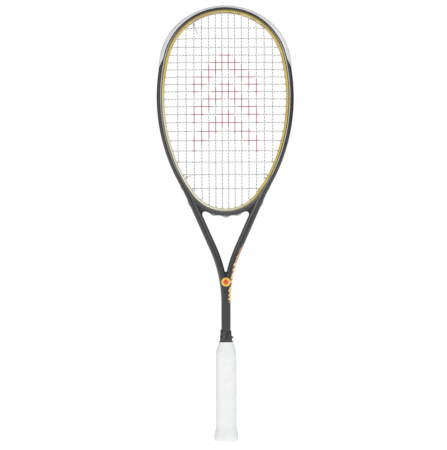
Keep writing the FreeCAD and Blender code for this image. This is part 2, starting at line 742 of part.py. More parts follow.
def handle_pallet():
    """The foam handle moulded round the tail, with pilot holes for the staples' legs."""
    body = new_body("handle_pallet")
    stations = [("Dims.cap_floor", *BARE), CONE_START, CONE_END]
    loft(body, "AdditiveLoft", "Foam", layer(stations, FOAM_INSET))
    loft(body, "SubtractiveLoft", "TailSeat",
         [("Dims.tail_bottom", *TAIL), ("Dims.cone_end", *TAIL)])
    legs = new_sketch(body, "LegHoles", "XZ_Plane")
    for side in (-1, 1):
        hole = legs.addGeometry(Part.Circle(Vector(side * 4, 15, 0), Vector(0, 0, 1), 0.5))
        bind(legs, Sketcher.Constraint("Diameter", hole, 1), f"wire{hole}", "Dims.staple_wire")
        bind(legs, Sketcher.Constraint("DistanceY", -1, 1, hole, 3, 15), f"height{hole}",
             "Dims.staple_height")
        bind(legs, Sketcher.Constraint("DistanceX", -1, 1, hole, 3, side * 4.0), f"place{hole}",
             f"{side} * (Dims.staple_span - Dims.staple_wire) / 2")
    through_cut(body, legs)
    return body


def through_cut(body, sketch):
    """Cuts a sketch on the XZ plane right through, front and back."""
    doc.recompute()
    before = body.Shape.Volume
    pocket = body.newObject("PartDesign::Pocket", sketch.Name + "Cut")
    pocket.Profile = sketch
    pocket.Type = "ThroughAll"
    pocket.Midplane = True
    body.Tip = pocket
    doc.recompute()
    if body.Shape.Volume >= before:
        raise RuntimeError(f"{pocket.Name} cut nothing")
    return pocket


def butt_cap():
    """The moulded cap: a flared cup round the handle's end with a closed floor."""
    body = new_body("butt_cap")
    cup = [LIP] + FLARE + [FLARE_END]
    loft(body, "AdditiveLoft", "Cup", layer(cup, "Dims.wrap_wall"))
    foot = ("0", "Dims.butt_width", "Dims.butt_depth", "Dims.butt_corner")
    loft(body, "AdditiveLoft", "Foot", [foot, LIP])
    seat = [("Dims.cap_floor", *BARE), FLARE_END]
    loft(body, "SubtractiveLoft", "Seat", layer(seat, FOAM_INSET))
    recess = circle_sketch(body, "PlugRecess", "XY_Plane", "0", "Dims.plug_diameter")
    cut = body.newObject("PartDesign::Pocket", "Recess")
    cut.Profile = recess
    cut.setExpression("Length", "Dims.plug_recess")
    cut.Reversed = True
    body.Tip = cut
    doc.recompute()
    slot = new_sketch(body, "StapleSlots", "XZ_Plane")
    corners = [(-4.5, 14.5), (4.5, 14.5), (4.5, 15.5), (-4.5, 15.5)]
    for start, end in zip(corners, corners[1:] + corners[:1]):
        slot.addGeometry(Part.LineSegment(Vector(*start, 0), Vector(*end, 0)))
    for line in range(4):
        slot.addConstraint(Sketcher.Constraint("Coincident", line, 2, (line + 1) % 4, 1))
        kind = "Horizontal" if line % 2 == 0 else "Vertical"
        slot.addConstraint(Sketcher.Constraint(kind, line))
    bind(slot, Sketcher.Constraint("DistanceX", 0, 1, 0, 2, 9), "span", "Dims.staple_span")
    bind(slot, Sketcher.Constraint("DistanceY", 1, 1, 1, 2, 1), "wire", "Dims.staple_wire")
    bind(slot, Sketcher.Constraint("DistanceX", -1, 1, 0, 2, 4.5), "right", "Dims.staple_span / 2")
    bind(slot, Sketcher.Constraint("DistanceY", -1, 1, 0, 1, 14.5), "bottom",
         "Dims.staple_height - Dims.staple_wire / 2")
    through_cut(body, slot)
    return body


def butt_plug():
    """A plain round plug that closes the cap's recess."""
    body = new_body("butt_plug")
    profile = circle_sketch(body, "Disc", "XY_Plane", "Dims.plug_recess - Dims.plug_thickness",
                            "Dims.plug_diameter - Dims.slip")
    pad = body.newObject("PartDesign::Pad", "Plug")
    pad.Profile = profile
    pad.setExpression("Length", "Dims.plug_thickness")
    body.Tip = pad
    doc.recompute()
    chamfer = body.newObject("PartDesign::Chamfer", "Edge")
    chamfer.Base = (pad, ["Edge3"])
    chamfer.Size = 0.3
    body.Tip = chamfer
    return body


def butt_staples():
    """Two wire staples through the cap's walls into the handle foam."""
    half_foam = "(Dims.grip_depth / 2 - Dims.wrap_wall - Dims.underlay_wall)"
    pieces = []
    for face in (-1, 1):
        crown = doc.addObject("Part::Box", "Crown")
        crown.setExpression("Length", "Dims.staple_span - Dims.slip")
        crown.setExpression("Width", "Dims.staple_wire")
        crown.setExpression("Height", "Dims.staple_wire - Dims.slip")
        crown.setExpression("Placement.Base.x", "-(Dims.staple_span - Dims.slip) / 2")
        crown.setExpression("Placement.Base.z", "Dims.staple_height - (Dims.staple_wire - Dims.slip) / 2")
        near = f"{half_foam}" if face > 0 else f"-{half_foam} - Dims.staple_wire"
        crown.setExpression("Placement.Base.y", near)
        pieces.append(crown)
        for side in (-1, 1):
            leg = doc.addObject("Part::Cylinder", "Leg")
            leg.setExpression("Radius", "Dims.staple_wire / 2 - Dims.leg_slip")
            leg.setExpression("Height", "Dims.staple_leg + Dims.staple_wire / 2")
            leg.Placement.Rotation = FreeCAD.Rotation(Vector(1, 0, 0), 90 * face)
            leg.setExpression("Placement.Base.x", f"{side} * (Dims.staple_span - Dims.staple_wire) / 2")
            leg.setExpression("Placement.Base.y", f"{face} * ({half_foam} + Dims.staple_wire / 2)")
            leg.setExpression("Placement.Base.z", "Dims.staple_height")
            pieces.append(leg)
    staples = doc.addObject("Part::MultiFuse", "butt_staples")
    staples.Label = "butt_staples"
    staples.Shapes = pieces
    return staples


def tail_bung():
    """A foam bung in the open end of the tail."""
    body = new_body("tail_bung")
    slack = "2 * (Dims.tube_wall + Dims.tail_slack)"
    size = (f"2 * Dims.neck_half - {slack}", f"Dims.frame_depth - {slack}",
            "Dims.tube_corner - Dims.tube_wall")
    heights = ("Dims.tail_bottom", "Dims.tail_bottom + Dims.bung_height")
    loft(body, "AdditiveLoft", "Bung", [(height, *size) for height in heights])
    return body


def sleeve(label, outer, inner):
    """A hollow layer of the handle between two sets of sections."""
    body = new_body(label)
    loft(body, "AdditiveLoft", "Outside", outer)
    loft(body, "SubtractiveLoft", "Inside", inner)
    return body


def grip_underlay():
    stations = [FLARE_END, CONE_START, CONE_END]
    return sleeve("grip_underlay", layer(stations, "Dims.wrap_wall"), layer(stations, FOAM_INSET))


def grip_wrap():
    stations = [LIP] + FLARE + [FLARE_END, CONE_START, CONE_END]
    return sleeve("grip_wrap", layer(stations, "0"), layer(stations, "Dims.wrap_wall"))


def finishing_tape():
    """The tape that closes the grip at the neck, with its free end standing off."""
    low = ("Dims.cone_end", "Dims.tape_low_width", "Dims.tape_low_depth", "Dims.tape_corner")
    top = ("Dims.tape_top", "Dims.tape_top_width", "Dims.tape_top_depth", "Dims.tape_corner")
    inner = [(height, *TAIL) for height in ("Dims.cone_end", "Dims.tape_top")]
    body = sleeve("finishing_tape", [low, top], inner)
    flap = new_sketch(body, "FlapOutline", "XZ_Plane")
    corners = [(8, 162), (12, 164), (8, 169)]
    for start, end in zip(corners, corners[1:] + corners[:1]):
        flap.addGeometry(Part.LineSegment(Vector(*start, 0), Vector(*end, 0)))
    for line in range(3):
        flap.addConstraint(Sketcher.Constraint("Coincident", line, 2, (line + 1) % 3, 1))
    places = [("root", 0, "Dims.neck_half + Dims.flap_root", "Dims.flap_low"),
              ("tip", 1, "Dims.flap_reach", "Dims.flap_low + 2"),
              ("head", 2, "Dims.neck_half + Dims.flap_root", "Dims.flap_high")]
    for name, line, across, up in places:
        bind(flap, Sketcher.Constraint("DistanceX", -1, 1, line, 1, corners[line][0]),
             f"{name}_x", across)
        bind(flap, Sketcher.Constraint("DistanceY", -1, 1, line, 1, corners[line][1]),
             f"{name}_z", up)
    pad = body.newObject("PartDesign::Pad", "Flap")
    pad.Profile = flap
    pad.setExpression("Length", "Dims.flap_thickness")
    pad.Midplane = True
    body.Tip = pad
    return body


# ---------------------------------------------------------------- decals and knots


def skin(block):
    """A decal: the thin layer over the tube and yoke inside a block."""
    thick = SIZE["decal_thickness"]
    band = loop(half_band(-thick, SIZE["tube_width"] + thick, HALF_DEPTH + thick,
                          SIZE["tube_corner"] + thick))
    return band.common(block).cut(OUTER_SOLID)


def throat_badge(face):
    """A plain oval disc on the neck's front or back."""
    oval = Part.Ellipse(Vector(0, 0, 0), SIZE["badge_length"] / 2, SIZE["badge_width"] / 2)
    outline = Part.Face(Part.Wire(oval.toShape()))
    block = outline.extrude(Vector(0, 0, HALF_DEPTH - SIZE["tube_corner"] / 2))
    turn = FreeCAD.Placement(Vector(0, 0, 0), FreeCAD.Rotation(Vector(0, 0, 1), 90))
    block = block.transformGeometry(turn.toMatrix())
    block.rotate(Vector(0, 0, 0), Vector(1, 0, 0), 90)
    block.translate(point(0, SIZE["badge_height"], -SIZE["tube_corner"]))
    if face > 0:
        block.rotate(point(0, SIZE["badge_height"]), Vector(0, 0, 1), 180)
    return skin(block)


def shaft_flecks(side):
    """The decal along the outer edge of one shaft, front face to side."""
    band = SIZE["fleck_band"]
    zone = between(half_band(-1, band, HALF_DEPTH + 1), SIZE["fleck_low"], SIZE["fleck_high"])
    front = Part.makeBox(WIDE, HALF_DEPTH - 4, WIDE, Vector(-WIDE / 2, -HALF_DEPTH - 1, 0))
    zone = zone.common(front)
    return skin(mirrored(zone) if side < 0 else zone)


def knot(label, tie, beside, following, tail_end, turns):
    """A tie-off: turns round a main, the link from the hole and the free tail."""
    gap = SIZE["string_diameter"] + SIZE["knot_gap"]
    thick = SIZE["string_diameter"] / 2
    mouth, tie_mouth = beside.mouth(-1), tie.mouth(-1)
    way = (following - mouth).normalize()
    lead = SIZE["knot_lead"]
    straight = tie_mouth - Vector(-tie.way.x, 0, tie.way.z) * lead
    pieces = [Part.makeCylinder(thick, lead, tie_mouth, straight - tie_mouth)]
    upright = Vector(0, 0, 1)
    for turn in range(turns):
        ring = Part.makeTorus(gap, thick, Vector(0, 0, 0), upright)
        ring.rotate(Vector(0, 0, 0), upright.cross(way), math.degrees(upright.getAngle(way)))
        ring.translate(mouth + way * (SIZE["knot_stand"] + turn * SIZE["knot_pitch"]))
        pieces.append(ring)
    centre = mouth + way * SIZE["knot_stand"]
    back, front = centre + Vector(0, gap, 0), centre - Vector(0, gap, 0)
    for start, end in ((straight, back), (front, tail_end)):
        pieces.append(Part.makeCylinder(thick, (end - start).Length, start, end - start))
        pieces.append(Part.makeSphere(thick, start))
    return add_feature(label, finish_shape(pieces[0].fuse(pieces[1:])))


def next_crossing(main, bottom):
    """The first place where a left-hand main is crossed, from its bottom or its top."""
    numbers = [number for number in range(CROSSES) if inside(main, number)]
    number = numbers[0] if bottom else numbers[-1]
    lift = crossing_side(-main - 1, number) * SIZE["string_lift"]
    return point(-MAINS[main], CROSS_HEIGHTS[number], lift)


# Where the free tails of the two knots end.
TOP_TAIL_END, LOW_TAIL_END = point(-42.7, 641.5, -3.2), point(-53.5, 418.5, -3.2)


def build():
    """Every sub-part of the racket, as objects of the document."""
    middle, high, gap = SIZE["side_strip_bottom"], SIZE["bumper_bottom"], SIZE["strip_gap"]
    low = SIZE["groove_bottom"] + gap
    shapes = {
        "hoop_tube": hoop_tube(),
        "throat_bridge": throat_bridge(),
        "bridge_core": bridge_core(),
        "neck_yoke": neck_yoke(),
        "bumper_guard": bumper_guard(),
        "side_grommets_right": side_grommets(1, middle + gap, high),
        "side_grommets_left": side_grommets(-1, middle + gap, high),
        "corner_grommets_right": side_grommets(1, low, middle),
        "corner_grommets_left": side_grommets(-1, low, middle),
        "throat_grommets": throat_grommets(),
        "throat_badge_front": throat_badge(-1),
        "throat_badge_back": throat_badge(1),
        "shaft_flecks_right": shaft_flecks(1),
        "shaft_flecks_left": shaft_flecks(-1),
    }
    parts = [add_feature(label, finish_shape(shape)) for label, shape in shapes.items()]
    parts.append(add_feature("main_string", cord(main_string_route())))
    parts.append(add_feature("cross_string", cord(cross_string_route())))
    parts.append(knot("knot_top", TIE_TOP, MAIN_PORTS[4][0], next_crossing(4, False),
                      TOP_TAIL_END, turns=2))
    parts.append(knot("knot_bottom", TIE_LOW, MAIN_PORTS[5][1], next_crossing(5, True),
                      LOW_TAIL_END, turns=1))
    parts += [handle_pallet(), butt_cap(), butt_plug(), butt_staples(), tail_bung()]
    parts += [grip_underlay(), grip_wrap(), finishing_tape()]
    return parts


parts = build()
doc.recompute()
for item in doc.Objects:
    if {"Invalid", "Error"} & set(item.State):
        raise RuntimeError(f"{item.Label} did not compute: {item.State}")
for part in parts:
    shape = part.Shape
    if shape.isNull() or not shape.isValid() or len(shape.Solids) < 1:
        raise RuntimeError(f"{part.Label} has no valid shape")

os.makedirs("parts", exist_ok=True)
for part in parts:
    print(f"{part.Label}: {len(part.Shape.Solids)} solid, {part.Shape.Volume:.1f} mm3")
    part.Shape.exportStep(f"parts/{part.Label}.step")
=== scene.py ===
"""A squash racket: the looks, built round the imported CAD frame.

Shapes are worked out in millimetres, in the CAD's frame: +Z from the butt end to the head,
the string plane is XZ and the front looks along -Y. Meshes are made in metres."""

from math import acos, atan2, copysign, cos, pi, radians, sin, sqrt

import bmesh
import bpy
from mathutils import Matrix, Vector, noise


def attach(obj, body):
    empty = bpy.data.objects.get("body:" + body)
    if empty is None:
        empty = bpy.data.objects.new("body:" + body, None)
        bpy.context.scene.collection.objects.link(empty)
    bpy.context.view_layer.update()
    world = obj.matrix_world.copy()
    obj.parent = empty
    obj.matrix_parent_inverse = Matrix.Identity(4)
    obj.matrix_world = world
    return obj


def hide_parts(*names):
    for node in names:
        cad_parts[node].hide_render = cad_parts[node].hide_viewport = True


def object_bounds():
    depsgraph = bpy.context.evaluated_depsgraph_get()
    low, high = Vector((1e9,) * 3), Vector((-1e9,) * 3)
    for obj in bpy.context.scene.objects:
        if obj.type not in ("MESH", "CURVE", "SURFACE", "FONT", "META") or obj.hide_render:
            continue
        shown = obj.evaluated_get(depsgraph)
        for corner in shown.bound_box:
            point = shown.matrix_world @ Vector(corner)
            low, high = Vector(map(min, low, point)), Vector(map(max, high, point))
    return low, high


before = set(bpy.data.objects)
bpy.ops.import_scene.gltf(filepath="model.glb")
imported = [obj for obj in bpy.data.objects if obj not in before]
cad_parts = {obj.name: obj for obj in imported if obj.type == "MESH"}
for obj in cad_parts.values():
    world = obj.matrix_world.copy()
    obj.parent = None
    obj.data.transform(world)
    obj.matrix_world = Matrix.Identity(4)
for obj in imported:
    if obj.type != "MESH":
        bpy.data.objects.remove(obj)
cad_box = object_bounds()
MM = 0.001

# ---- sizes, as in the CAD

TOP = 686
BENDS = [(105.5, 20), (100.5, 56), (280.5, 43), (-350, 5)]  # radius, degrees
NECK_HALF, NECK_RADIUS, TAIL_BOTTOM = 7.35, 206, 20
TUBE, HALF_DEPTH, CORNER = 11.5, 9.5, 4.5
GROOVE_DEPTH, GROOVE_HALF, GROOVE_BOTTOM = 2.8, 2.9, 350
BUMPER, BUMPER_LOW, BUMPER_FULL, SWELL = 3.9, 585, 606, 2.3
BARREL_OUT, MOUTH, CLEAR = 1.2, 0.8, 4.5  # past the tube; bore's mouth; crossings to frame
TIP = TUBE + BARREL_OUT  # how far inside the outer edge the grommets end
RING_CENTRE, RING_IN, RING_OUT = 427, 60, 71.5
STRING, DEPTH, TRACK, LIFT = 1.2, 1.1, 1.8, 1.22
MAINS = [5 + 9.8 * k + 0.3 * k * k for k in range(7)]
CROSSES = 19


def cross_heights():
    heights = [398.5]
    for j in range(CROSSES - 1):
        low, high = max(0, 12.5 - j), max(0, j - 12.5)
        heights.append(heights[-1] + 11.4 + 0.00543 * low**3 + 0.056 * high**3)
    return heights


HEIGHTS = cross_heights()


def smooth(value, low, high):
    """0 below low, 1 above high and an even curve between."""
    part = min(1, max(0, (value - low) / (high - low)))
    return part * part * (3 - 2 * part)


# ---- the outer edge


class Station:
    """A place on the outer edge of the right half: its point, inward way and run."""

    def __init__(self, at, heading, run):
        self.x, self.z, self.run = at[0], at[1], run
        self.nx, self.nz = -sin(heading), -cos(heading)

    def place(self, inset, y=0.0, side=1):
        return Vector((side * (self.x + self.nx * inset), y, self.z + self.nz * inset))


def outer_edge(step):
    """Stations from the top of the head down the right side to the tail."""
    at, heading, run = (0.0, float(TOP)), 0.0, 0.0
    stations = [Station(at, 0, 0)]

    def arc(radius, turn):
        nonlocal at, heading, run
        centre = (at[0] - sin(heading) * radius, at[1] - cos(heading) * radius)
        length = abs(radius * turn)
        count = max(1, round(length / step))
        for i in range(1, count + 1):
            a = heading + turn * i / count
            spot = (centre[0] + sin(a) * radius, centre[1] + cos(a) * radius)
            stations.append(Station(spot, a, run + length * i / count))
        at, heading, run = spot, heading + turn, run + length

    def straight(length):
        nonlocal at, run
        count = max(1, round(length / step))
        way = (cos(heading), -sin(heading))
        start = at
        for i in range(1, count + 1):
            part = length * i / count
            at = (start[0] + way[0] * part, start[1] + way[1] * part)
            stations.append(Station(at, heading, run + part))
        run += length

    for radius, degrees in BENDS:
        arc(radius, copysign(radians(degrees), radius))
    last = NECK_RADIUS * (1 - sin(heading))
    straight((at[0] - NECK_HALF - last) / -cos(heading))
    arc(-NECK_RADIUS, radians(90) - heading)
    straight(at[1] - TAIL_BOTTOM)
    return stations


EDGE = outer_edge(2.0)
FINE = outer_edge(0.25)


def nearest(x, z):
    """The station whose point is nearest to that place, on the right."""
    return min(FINE, key=lambda s: (s.x - x) ** 2 + (s.z - z) ** 2)


def at_run(run):
    return min(FINE, key=lambda s: abs(s.run - run))


# ---- meshes

SHARP_EDGE = 38  # degrees between faces from which an edge is drawn sharp


class Shape:
    """Points in millimetres and faces, with the numbers that a paint reads at each point."""

    def __init__(self):
        self.verts, self.faces, self.uv, self.numbers = [], [], [], []

    def add(self, point, inset=0.0, band=0.0, line=0.0, uv=(0, 0)):
        self.verts.append(Vector(point))
        self.uv.append(uv)
        self.numbers.append((inset, band, line))
        return len(self.verts) - 1

    def grid(self, rows, closed=True, flip=False):
        """Faces between rows of points; each row is closed on itself if closed."""
        for low, high in zip(rows, rows[1:]):
            count = len(low)
            for i in range(count if closed else count - 1):
                j = (i + 1) % count
                face = [low[i], low[j], high[j], high[i]]
                self.faces.append(face[::-1] if flip else face)

    def cap(self, row, flip=False):
        self.faces.append(list(reversed(row)) if flip else list(row))

    def tube(self, rows, flip=False):
        """A skin over closed rows of points, capped at both ends."""
        self.grid(rows, flip=flip)
        self.cap(rows[0], flip=not flip)
        self.cap(rows[-1], flip=flip)

    def piece(self, name, slot, stands_for=(), sharp=SHARP_EDGE, numbers=False, with_uv=False):
        """The finished object, in metres."""
        mesh = bpy.data.meshes.new(name)
        mesh.from_pydata([v * MM for v in self.verts], [], self.faces)
        if numbers:
            for label, values in zip(("inset", "band", "line"), zip(*self.numbers)):
                mesh.attributes.new(label, "FLOAT", "POINT").data.foreach_set("value", values)
        if with_uv:
            flat = [c for face in mesh.polygons for k in face.loop_indices
                    for c in self.uv[mesh.loops[k].vertex_index]]
            mesh.uv_layers.new(name="UVMap").data.foreach_set("uv", flat)
        mesh.validate()
        mesh.polygons.foreach_set("use_smooth", [True] * len(mesh.polygons))
        mesh.set_sharp_from_angle(angle=radians(sharp))
        piece = bpy.data.objects.new(name, mesh)
        bpy.context.scene.collection.objects.link(piece)
        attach(piece, "root")
        if stands_for:
            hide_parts(*stands_for)
        return piece


def both_sides(shape, section_rows, flip_right=False):
    """Adds the skin of rows of points for the right side, then the left, capped at its end."""
    for side in (1, -1):
        rows = section_rows(side)
        flip = (side > 0) == flip_right
        shape.grid(rows, flip=flip)
        shape.cap(rows[-1], flip=flip)


def weld(piece, drop_middle=False):
    """Joins points that lie on each other. drop_middle removes faces on the middle plane
    below the head, where the two halves of the hairpin meet."""
    work = bmesh.new()
    work.from_mesh(piece.data)
    if drop_middle:
        inner = [f for f in work.faces
                 if all(abs(v.co.x) < 1e-7 for v in f.verts) and f.calc_center_median().z < 0.6]
        bmesh.ops.delete(work, geom=inner, context="FACES")
    bmesh.ops.remove_doubles(work, verts=work.verts, dist=0.002 * MM)
    bmesh.ops.recalc_face_normals(work, faces=work.faces)
    work.to_mesh(piece.data)
    work.free()
    piece.data.set_sharp_from_angle(angle=radians(SHARP_EDGE))
    return piece


# ---- the frame's tubes


def corner_arc(centre, start):
    """Points of a quarter circle in the section, (inset, depth), from the angle start."""
    turns = [radians(start + 90 * i / 8) for i in range(9)]
    return [(centre[0] + CORNER * cos(t), centre[1] - CORNER * sin(t)) for t in turns]


def with_mirror(half):
    """A closed section from its front half, which starts and ends on the middle plane."""
    return half + [(u, -y) for u, y in half[-2:0:-1]]


def tube_section(groove, half_depth=HALF_DEPTH):
    """The frame's closed section as (inset, y), starting at the inner middle."""
    flat = half_depth - CORNER
    half = [(TUBE, 0), (TUBE, -flat / 2)]
    half += corner_arc((TUBE - CORNER, -flat), 0)
    half += [(TUBE / 2, -half_depth)]
    half += corner_arc((CORNER, -flat), 90)
    half += [(0, -GROOVE_HALF - 0.3), (min(0.3, groove), -GROOVE_HALF),
             (groove, -GROOVE_HALF), (groove, 0)]
    return with_mirror(half)


def rebate(z):
    """How much of the tube's outer side the bumper takes up, at that height."""
    return BUMPER * smooth(z, BUMPER_LOW, BUMPER_FULL)


def frame_mesh():
    """The hairpin of tube: hoop, shafts and the tail inside the handle, as one skin."""
    shape = Shape()

    def row(station, side):
        z = station.z
        groove = GROOVE_DEPTH * smooth(z, GROOVE_BOTTOM, GROOVE_BOTTOM + 6)
        # Where the two sides run together each stops at the middle plane.
        furthest = station.x / -station.nx if station.nx < -0.3 and z < 400 else 99
        # The gold band is only on the head. The light line, a painted highlight, rises from the
        # neck, is fullest on the head, fades at its top, and lies further in down the shafts.
        band = smooth(z, 404, 424)
        light = smooth(z, 255, 330) * (0.45 + 0.55 * smooth(z, 380, 430))
        light *= 1 - smooth(z, 600, 672)
        shift = 1.5 * (1 - smooth(z, 340, 420))
        section = [(min(max(u, rebate(z)), furthest), y) for u, y in tube_section(groove)]
        return [shape.add(station.place(u, y, side), u - shift, band, light) for u, y in section]

    both_sides(shape, lambda side: [row(station, side) for station in EDGE])
    piece = shape.piece("frame_tube", "frame_paint", ["hoop_tube", "neck_yoke"], numbers=True)
    return weld(piece, drop_middle=True)


# The bridge's ring eases into the hoop on a curve from BLEND_LOW up to BLEND_HIGH.
BLEND_DEGREES, BLEND_HEIGHT = 55, 427.5
BLEND_LOW, BLEND_ANGLE = Vector((49.15, 392.6)), radians(BLEND_DEGREES)
BLEND_TOP = min((s for s in FINE if s.z > 350), key=lambda s: abs(s.place(TUBE).z - BLEND_HEIGHT))
BLEND_HIGH = Vector((BLEND_TOP.place(TUBE).x, BLEND_HEIGHT))


def blend(t):
    """A place on the eased corner between ring and hoop, and its way outward; t is 0 to 1."""
    reach = (BLEND_HIGH - BLEND_LOW).length
    leave = Vector((cos(BLEND_ANGLE), sin(BLEND_ANGLE))) * reach
    arrive = Vector((BLEND_TOP.nz, -BLEND_TOP.nx)) * reach
    spot = (BLEND_LOW * (2 * t**3 - 3 * t * t + 1) + leave * (t**3 - 2 * t * t + t)
            + BLEND_HIGH * (3 * t * t - 2 * t**3) + arrive * (t**3 - t * t))
    way = (BLEND_LOW * (6 * t * t - 6 * t) + leave * (3 * t * t - 4 * t + 1)
           + BLEND_HIGH * (6 * t - 6 * t * t) + arrive * (3 * t * t - 2 * t)).normalized()
    return spot, Vector((way.y, -way.x))


def bridge_path():
    """The bridge's upper edge on the right: (point, way away from the strings)."""
    path = []
    for i in range(45):
        a = radians(BLEND_DEGREES * i / 44)
        path.append(((RING_IN * sin(a), RING_CENTRE - RING_IN * cos(a)),
                     (sin(a), -cos(a))))
    path += [blend(i / 18) for i in range(1, 19)]
    # It runs on along the hoop and sinks into it.
    hoop = [s for s in EDGE if BLEND_HEIGHT < s.place(TUBE).z < 452 and s.z > 350]
    for s in sorted(hoop, key=lambda s: s.place(TUBE).z):
        spot = s.place(TUBE - 4 * smooth(s.place(TUBE).z, BLEND_HEIGHT, 450))
        path.append(((spot.x, spot.z), (-s.nx, -s.nz)))
    return path


def bridge_mesh():
    """The bridge, a ring of tube that eases into the hoop at both ends."""
    shape = Shape()

    def row(x, z, way, side):
        groove = GROOVE_DEPTH * (1 - smooth(x, 29, 32))
        half_depth = HALF_DEPTH - 0.3 * smooth(x, 30, 48)
        # It gets narrower where it runs into the hoop, to stay inside it.
        thin = 1 - 0.6 * smooth(x, 48, 66)
        section = [((TUBE - u) * thin, y) for u, y in tube_section(groove, half_depth)]
        spots = [(side * (x + way[0] * low), y, z + way[1] * low) for low, y in section]
        # On the bridge the painted highlight line is at 0.4 strength.
        return [shape.add(spot, TUBE - low + 0.6, 1, 0.4) for spot, (low, _) in zip(spots, section)]

    both_sides(shape, lambda side: [row(x, z, way, side) for (x, z), way in bridge_path()], True)
    return weld(shape.piece("bridge_tube", "frame_paint", ["throat_bridge"], numbers=True))


def throat_web(side):
    """The rounded upper corner of the throat opening, between the bridge and a shaft."""
    radius, half = 4.5, HALF_DEPTH - 1.6
    middle = Vector((0, 0, RING_CENTRE))

    def off_ring(station):
        return abs((station.place(TUBE + radius) - middle).length - RING_OUT - radius)

    spot = min((s for s in FINE if 330 < s.z < 400), key=off_ring)
    centre = spot.place(TUBE + radius)
    to_ring = (middle - centre).normalized()
    to_shaft = Vector((-spot.nx, 0, -spot.nz))
    start, end = [atan2(w.z, w.x) for w in (to_shaft, to_ring)]
    turn = (end - start) % (2 * pi)
    rim = []
    for i in range(15):
        a = start + turn * i / 14
        rim.append(centre + Vector((cos(a), 0, sin(a))) * radius)
    deep = centre + (to_ring + to_shaft).normalized() * 24
    rim += [rim[-1] + to_ring * 4, deep, rim[0] + to_shaft * 4]
    shape = Shape()
    rows = []
    for y, grow in ((-half, 0.5), (-half + 0.15, 0.15), (-half + 0.5, 0), (half - 0.5, 0),
                    (half - 0.15, 0.15), (half, 0.5)):
        row = [p + (p - centre).normalized() * (grow if number < 15 else 0)
               for number, p in enumerate(rim)]
        rows.append([shape.add((side * p.x, y, p.z)) for p in row])
    shape.tube(rows, flip=side > 0)
    return weld(shape.piece("throat_web_" + ("right" if side > 0 else "left"), "frame_paint"))


def crotch_web():
    """The small web in the fork between the shafts, hollowed on top and set back."""
    half = HALF_DEPTH - 2.2
    inner = [s.place(TUBE) for s in FINE if 240 < s.z < 320]
    inner = sorted((p for p in inner if p.x > -0.4 and p.z < 269.5), key=lambda p: p.z)
    top = inner[-1]
    right = [(p.x + 0.7, p.z) for p in inner[::6]] + [(top.x + 0.7, top.z)]
    bowl = [(top.x * cos(a), top.z - top.x * sin(a))
            for a in (pi * i / 12 for i in range(13))]
    outline = right + bowl + [(-x, z) for x, z in right[::-1]]
    shape = Shape()
    rows = [[shape.add((x, y, z)) for x, z in outline] for y in (-half, half)]
    shape.tube(rows, flip=True)
    return weld(shape.piece("crotch_web", "frame_paint"))


def pad(shape, place, reach, height):
    """A swelling of the grommet strip; place(along, inset, y) gives its points."""
    rows = []
    for i in range(17):
        along = reach * (i / 8 - 1)
        rise = height * cos(pi * along / reach / 2) ** 1.4 if i % 16 else 0
        section = [(1.95, -2.7), (-0.6 * rise, -2.7), (-rise, -2)]
        section += [(u, -y) for u, y in section[::-1]]
        rows.append([shape.add(place(along, u, y)) for u, y in section])
    shape.grid(rows)
    shape.cap(rows[0])
    shape.cap(rows[-1], flip=True)


def guard_pads():
    """Where the grommet strips stand out of the groove: under the bridge and by the shafts."""
    shape = Shape()
    for middle, reach, height in ((-19, 8, 2.2), (0.5, 8, 2.8), (19.5, 8, 2.2)):
        def under(along, u, y, middle=middle):
            a, r = (middle + along) / RING_OUT, RING_OUT - u
            return r * sin(a), y, RING_CENTRE - r * cos(a)
        pad(shape, under, reach, height)
    for side in (1, -1):
        for height_z, reach, height in ((375, 7, 1.4), (399, 5, 0.9)):
            run = min(FINE, key=lambda s: abs(s.z - height_z)).run

            def outside(along, u, y, run=run, side=side):
                return at_run(run + along).place(u, y, side)
            pad(shape, outside, reach, height)
    return weld(shape.piece("grommet_pads", "clear_nylon", sharp=50))


# ---- string holes


class Port:
    """One string hole of the right half: where the grommet ends and the way it runs."""

    def __init__(self, x, z, track, bridge=False):
        self.track, self.bridge, self.tip = track * TRACK, bridge, Vector((x, 0, z))
        if bridge:
            self.near = Vector((x, 0, ring_height(RING_OUT, x)))
            self.way = Vector((0, 0, -1))
        else:
            self.station = nearest(x, z)
            self.near = self.station.place(0)
            self.way = (self.near - self.tip).normalized()

    def at(self, inset, side):
        """A place on the hole's line, measured from the frame's outer side."""
        return self.from_end(self.near, inset, side)

    def mouth(self, side):
        return self.from_end(self.tip, MOUTH, side)

    def from_end(self, end, back, side):
        spot = end - self.way * back
        return Vector((side * spot.x, self.track, spot.z))


def ring_height(radius, x):
    return RING_CENTRE - sqrt(radius**2 - x**2)


def blend_tip(test):
    """The first place up the eased corner where a grommet's end meets the test."""
    places = (blend(i / 400) for i in range(401))
    spot = next(p for p in (spot - way * BARREL_OUT for spot, way in places) if test(p))
    return spot.x, spot.y


def hoop_tip(test):
    """The first place down the hoop where a grommet's end meets the test."""
    spot = next(s for s in FINE if test(s.place(TIP))).place(TIP)
    return spot.x, spot.z


def main_ports():
    pairs = []
    for index, x in enumerate(MAINS):
        top = hoop_tip(lambda p: p.x >= x)
        if index < 5:
            low = (x, ring_height(RING_IN - BARREL_OUT, x))
        elif index == 5:
            low = blend_tip(lambda p: p.x >= x)
        else:
            low = hoop_tip(lambda p: p.z < 500 and p.x <= x)
        pairs.append((Port(*top, -1), Port(*low, -1, bridge=index < 3)))
    return pairs


def cross_ports():
    tips = [blend_tip(lambda p: p.y >= z) for z in HEIGHTS[:2]]
    tips += [hoop_tip(lambda p: p.z <= z) for z in HEIGHTS[2:]]
    return [Port(*tip, 1) for tip in tips]


MAIN_PORTS, CROSS_PORTS = main_ports(), cross_ports()
TIE_TOP = Port(MAIN_PORTS[4][0].tip.x, MAIN_PORTS[4][0].tip.z, 1)
TIE_LOW = Port(MAIN_PORTS[5][1].tip.x, MAIN_PORTS[5][1].tip.z, 1)


